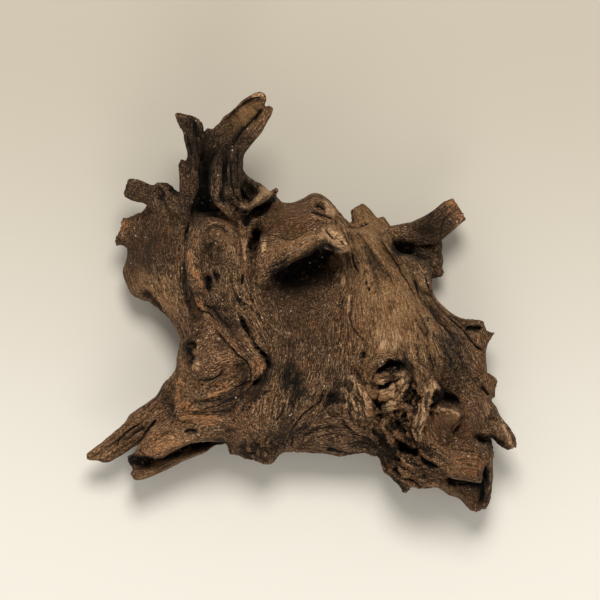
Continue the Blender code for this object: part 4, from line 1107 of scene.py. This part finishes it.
def weathered_wood(colours):
    """Root wood that water and air have worn, dry and unsealed.

    It is matt brown with streaks along the grain, painted shade with some dirt in its checks, cracks and
    hollows, painted light and shade on some broad faces, painted glints, and pale, chafed ridges.
    """
    material = bpy.data.materials.new("weathered_root_wood")
    material.use_nodes = True
    tree = material.node_tree
    shader = tree.nodes["Principled BSDF"]
    shader.inputs["Specular IOR Level"].default_value = WOOD_SPECULAR
    spots = add_node(tree, "ShaderNodeTexCoord").outputs["Object"]
    values = {}
    for name in MARKS:
        values[name] = add_node(tree, "ShaderNodeAttribute", {"attribute_name": name}).outputs["Fac"]
    for name, size, detail, roughness in SPOTS:
        settings = {"Scale": 1 / (size * MILLIMETRE), "Detail": detail, "Roughness": roughness}
        values[name] = add_node(tree, "ShaderNodeTexNoise", settings, {"Vector": spots}).outputs["Fac"]
    for name, width, length, detail, seed in STREAKS:
        values[name] = streaks(tree, spots, width, length, detail, seed)
    check = add_node(tree, "ShaderNodeMath", {"operation": "ABSOLUTE"}, {0: values["check"]})
    values["check"] = check.outputs[0]
    links = {0: values["fine"], 1: values["fleck"]}
    fibre = add_node(tree, "ShaderNodeMath", {"operation": "ADD"}, links).outputs[0]
    centred = add_node(tree, "ShaderNodeMath", {"operation": "SUBTRACT", 1: 0.5}, {0: fibre})
    values["fibre"] = centred.outputs[0]
    settings = {"Scale": 1 / (GLINT_SPACING * MILLIMETRE), "Randomness": 1.0}
    values["glint"] = add_node(tree, "ShaderNodeTexVoronoi", settings, {"Vector": spots}).outputs["Distance"]
    base = add_node(tree, "ShaderNodeRGB").outputs[0]
    base.default_value = linear(colours.deep)
    for colour, name, low, high, strength, breaker, break_low, break_high in LAYERS:
        settings = {"clamp": True, "From Min": low, "From Max": high, "To Max": strength}
        share = add_node(tree, "ShaderNodeMapRange", settings, {"Value": values[name]}).outputs["Result"]
        if breaker:
            settings = {"clamp": True, "From Min": break_low, "From Max": break_high}
            broken = add_node(tree, "ShaderNodeMapRange", settings, {"Value": values[breaker]})
            links = {0: share, 1: broken.outputs["Result"]}
            share = add_node(tree, "ShaderNodeMath", {"operation": "MULTIPLY"}, links).outputs[0]
        settings = {"data_type": "RGBA", 7: linear(getattr(colours, colour))}
        base = add_node(tree, "ShaderNodeMix", settings, {0: share, 6: base}).outputs[2]
    tree.links.new(base, shader.inputs["Base Color"])
    settings = {"From Min": 0.3, "From Max": 0.7, "To Min": WOOD_ROUGHNESS[0], "To Max": WOOD_ROUGHNESS[1]}
    dryness = add_node(tree, "ShaderNodeMapRange", settings, {"Value": values["grit"]})
    tree.links.new(dryness.outputs["Result"], shader.inputs["Roughness"])
    height = values["fine"]
    for name, share in BUMP_SHARES:
        settings = {"operation": "MULTIPLY_ADD", 1: share}
        height = add_node(tree, "ShaderNodeMath", settings, {0: values[name], 2: height}).outputs[0]
    settings = {"Strength": 1.0, "Distance": BUMP_HEIGHT * MILLIMETRE}
    bump = add_node(tree, "ShaderNodeBump", settings, {"Height": height})
    tree.links.new(bump.outputs["Normal"], shader.inputs["Normal"])
    return material


# The stage, in metres. The paper carries painted shade: it is pale up to one place along Y and grey from
# another.
PALE_UP_TO = -0.22
GREY_FROM = 0.2
PAPER_ROUGHNESS = 0.9
PAPER_SPECULAR = 0.2
FLOOR_HALF = 6.0
KEY_PLACE = (0.1, 1.9, 4.0)
KEY_SIZE = 1.6
FILL_PLACE = (0.2, -3.2, 2.4)
FILL_SIZE = 2.5
FARTHEST_SEEN = 100.0
LAMP_WHITE = "#fffaf3"


def backdrop_with_painted_shade(near, far):
    """Matt backdrop paper with painted shade, darker from pale at the near edge to greyer at the far edge."""
    material = bpy.data.materials.new("backdrop_paper_with_painted_shade")
    material.use_nodes = True
    tree = material.node_tree
    shader = tree.nodes["Principled BSDF"]
    spots = add_node(tree, "ShaderNodeTexCoord").outputs["Object"]
    away = add_node(tree, "ShaderNodeSeparateXYZ", {}, {"Vector": spots}).outputs["Y"]
    settings = {"clamp": True, "From Min": PALE_UP_TO, "From Max": GREY_FROM,
                "interpolation_type": "SMOOTHSTEP"}
    share = add_node(tree, "ShaderNodeMapRange", settings, {"Value": away}).outputs["Result"]
    settings = {"data_type": "RGBA", 6: linear(near), 7: linear(far)}
    base = add_node(tree, "ShaderNodeMix", settings, {0: share}).outputs[2]
    tree.links.new(base, shader.inputs["Base Color"])
    shader.inputs["Roughness"].default_value = PAPER_ROUGHNESS
    shader.inputs["Specular IOR Level"].default_value = PAPER_SPECULAR
    return material


class DriftwoodSizes(bpy.types.PropertyGroup):
    slab_spacing: FloatProperty(name="Slab spacing", description="Mesh spacing of a slab of wood",
                                default=0.0018, unit="LENGTH", precision=4)
    skin_spacing: FloatProperty(name="Skin spacing", description="Mesh spacing of the skin of the wood",
                                default=0.00095, unit="LENGTH", precision=4)
    grain_height: FloatProperty(name="Grain height", description="Height of the raised grain, as a share",
                                default=1.0)
    triangles: IntProperty(name="Triangles", description="Triangles of the finished piece", default=190000)


class DriftwoodColours(bpy.types.PropertyGroup):
    deep: StringProperty(name="Deep brown", description="Darkest third of the wood, sRGB", default="#2b1c10")
    brown: StringProperty(name="Brown", description="Most of the wood, sRGB", default="#553218")
    russet: StringProperty(name="Russet", description="Reddish stains, sRGB", default="#5a351c")
    olive: StringProperty(name="Olive", description="Mossy stains, sRGB", default="#44331a")
    greyed: StringProperty(name="Greyed", description="Wood that air has greyed, sRGB", default="#664427")
    # This colour is partly painted light on lit faces.
    light: StringProperty(name="Light", description="Sun-bleached wood, sRGB", default="#8f6b44")
    worn: StringProperty(name="Worn", description="Chafed ridges, sRGB", default="#8d613a")
    pale: StringProperty(name="Pale", description="Raised fibres, sRGB", default="#c6a17a")
    orange: StringProperty(name="Orange", description="Rusty patches, sRGB", default="#a87045")
    tan: StringProperty(name="Tan", description="Freshly broken wood, sRGB", default="#d2a97f")
    # This colour is pale grit and splinters, and painted glints.
    grit_and_glint: StringProperty(name="Chalk", description="Grains of sand and splinters, sRGB", default="#dfcbb4")
    # This colour is dark stain on the fine streaks and checks, and painted shade on the broad shade patches.
    dark_stain_and_shade: StringProperty(name="Soot", description="Stained wood, sRGB", default="#24180d")
    # The dark colour paints shade with some dirt in cracks, checks and hollows, besides dark fibres and grit.
    dark: StringProperty(name="Dark", description="Dirt in checks and hollows, sRGB", default="#0e0a06")


class StageSettings(bpy.types.PropertyGroup):
    near: StringProperty(name="Near", description="Colour of the floor's near edge, sRGB", default="#dbd9d2")
    # The far edge's colour is painted shade: the floor darkens towards it.
    far: StringProperty(name="Far", description="Colour of the floor's far edge, sRGB", default="#b6b0a2")
    key_power: FloatProperty(name="Key light", description="Power of the main light",
                             default=160.0, unit="POWER")
    fill_power: FloatProperty(name="Fill light", description="Power of the fill light",
                              default=42.0, unit="POWER")
    air: FloatProperty(name="Air light", description="Strength of the even light from all sides", default=0.5)
    camera_height: FloatProperty(name="Camera height", description="Height of the camera over the floor",
                                 default=8.0, unit="LENGTH")


class DRIFTWOOD_OT_grow(bpy.types.Operator):
    """Grow the driftwood and give it its material"""
    bl_idname = "driftwood.grow"
    bl_label = "Driftwood"

    def execute(self, context):
        sizes = context.scene.driftwood_sizes
        mesh = grow_wood(sizes)
        ratio = sizes.triangles / (2 * len(mesh.polygons))
        thin = ("DECIMATE", {"ratio": min(1.0, ratio), "use_collapse_triangulate": True})
        mesh = shaped("driftwood_skin", mesh, [thin])
        drop_strays(mesh)
        points = read(mesh.vertices, "co")
        points[:, 2] = np.maximum(points[:, 2], 0)
        move_points(mesh, points)
        mesh.shade_smooth()
        mark_ways(mesh)
        mesh.materials.append(weathered_wood(context.scene.driftwood_colours))
        piece = object_from("driftwood_piece", mesh)
        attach(piece, "root")
        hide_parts("driftwood")
        return {"FINISHED"}


class DRIFTWOOD_OT_stage(bpy.types.Operator):
    """Lay the floor, hang the lights and set the camera"""
    bl_idname = "driftwood.stage"
    bl_label = "Stage"

    def execute(self, context):
        settings = context.scene.driftwood_stage
        shape = bmesh.new()
        bmesh.ops.create_grid(shape, x_segments=1, y_segments=1, size=FLOOR_HALF)
        floor = object_from("floor", mesh_from("floor", shape))
        floor.data.materials.append(backdrop_with_painted_shade(settings.near, settings.far))
        self.hang_light("key_light", KEY_PLACE, KEY_SIZE, settings.key_power)
        self.hang_light("fill_light", FILL_PLACE, FILL_SIZE, settings.fill_power)
        world = bpy.data.worlds.new("studio_air")
        world.use_nodes = True
        background = world.node_tree.nodes["Background"]
        background.inputs["Color"].default_value = linear(LAMP_WHITE)
        background.inputs["Strength"].default_value = settings.air
        context.scene.world = world
        self.set_camera(context, settings.camera_height)
        context.scene.view_settings.view_transform = "Standard"
        return {"FINISHED"}

    def hang_light(self, name, spot, size, power):
        light = bpy.data.lights.new(name, "AREA")
        light.shape = "DISK"
        light.size = size
        light.energy = power
        light.color = linear(LAMP_WHITE)[:3]
        lamp = bpy.data.objects.new(name, light)
        lamp.location = spot
        lamp.rotation_euler = (-Vector(spot)).to_track_quat("-Z", "Y").to_euler()
        bpy.context.scene.collection.objects.link(lamp)

    def set_camera(self, context, height):
        """Look straight down from far off, so that the sketch cells are the picture's cells."""
        camera = bpy.data.cameras.new("camera")
        middle = (0.0, (SKETCH_CENTRE[1] - PICTURE_CELLS / 2) * CELL)
        camera.lens = camera.sensor_width * (height - SHARP_HEIGHT) / (PICTURE_CELLS * CELL)
        camera.clip_end = FARTHEST_SEEN
        watcher = bpy.data.objects.new("camera", camera)
        watcher.location = (*middle, height)
        context.scene.collection.objects.link(watcher)
        context.scene.camera = watcher


class DRIFTWOOD_PT_panel(bpy.types.Panel):
    """Lists the pieces and their settings"""
    bl_label = "Driftwood"
    bl_idname = "DRIFTWOOD_PT_panel"
    bl_space_type = "VIEW_3D"
    bl_region_type = "UI"
    bl_category = "Driftwood"

    def draw(self, context):
        scene = context.scene
        for group in (scene.driftwood_sizes, scene.driftwood_colours, scene.driftwood_stage):
            for name in group.__annotations__:
                self.layout.prop(group, name)
        self.layout.operator("driftwood.grow")
        self.layout.operator("driftwood.stage")


CLASSES = (DriftwoodSizes, DriftwoodColours, StageSettings, DRIFTWOOD_OT_grow, DRIFTWOOD_OT_stage,
           DRIFTWOOD_PT_panel)


def register():
    for kind in CLASSES:
        bpy.utils.register_class(kind)
    bpy.types.Scene.driftwood_sizes = PointerProperty(type=DriftwoodSizes)
    bpy.types.Scene.driftwood_colours = PointerProperty(type=DriftwoodColours)
    bpy.types.Scene.driftwood_stage = PointerProperty(type=StageSettings)


def unregister():
    del bpy.types.Scene.driftwood_stage
    del bpy.types.Scene.driftwood_colours
    del bpy.types.Scene.driftwood_sizes
    for kind in reversed(CLASSES):
        bpy.utils.unregister_class(kind)


def main():
    register()
    bpy.ops.driftwood.grow()
    bpy.ops.driftwood.stage()


if __name__ == "__main__":
    main()
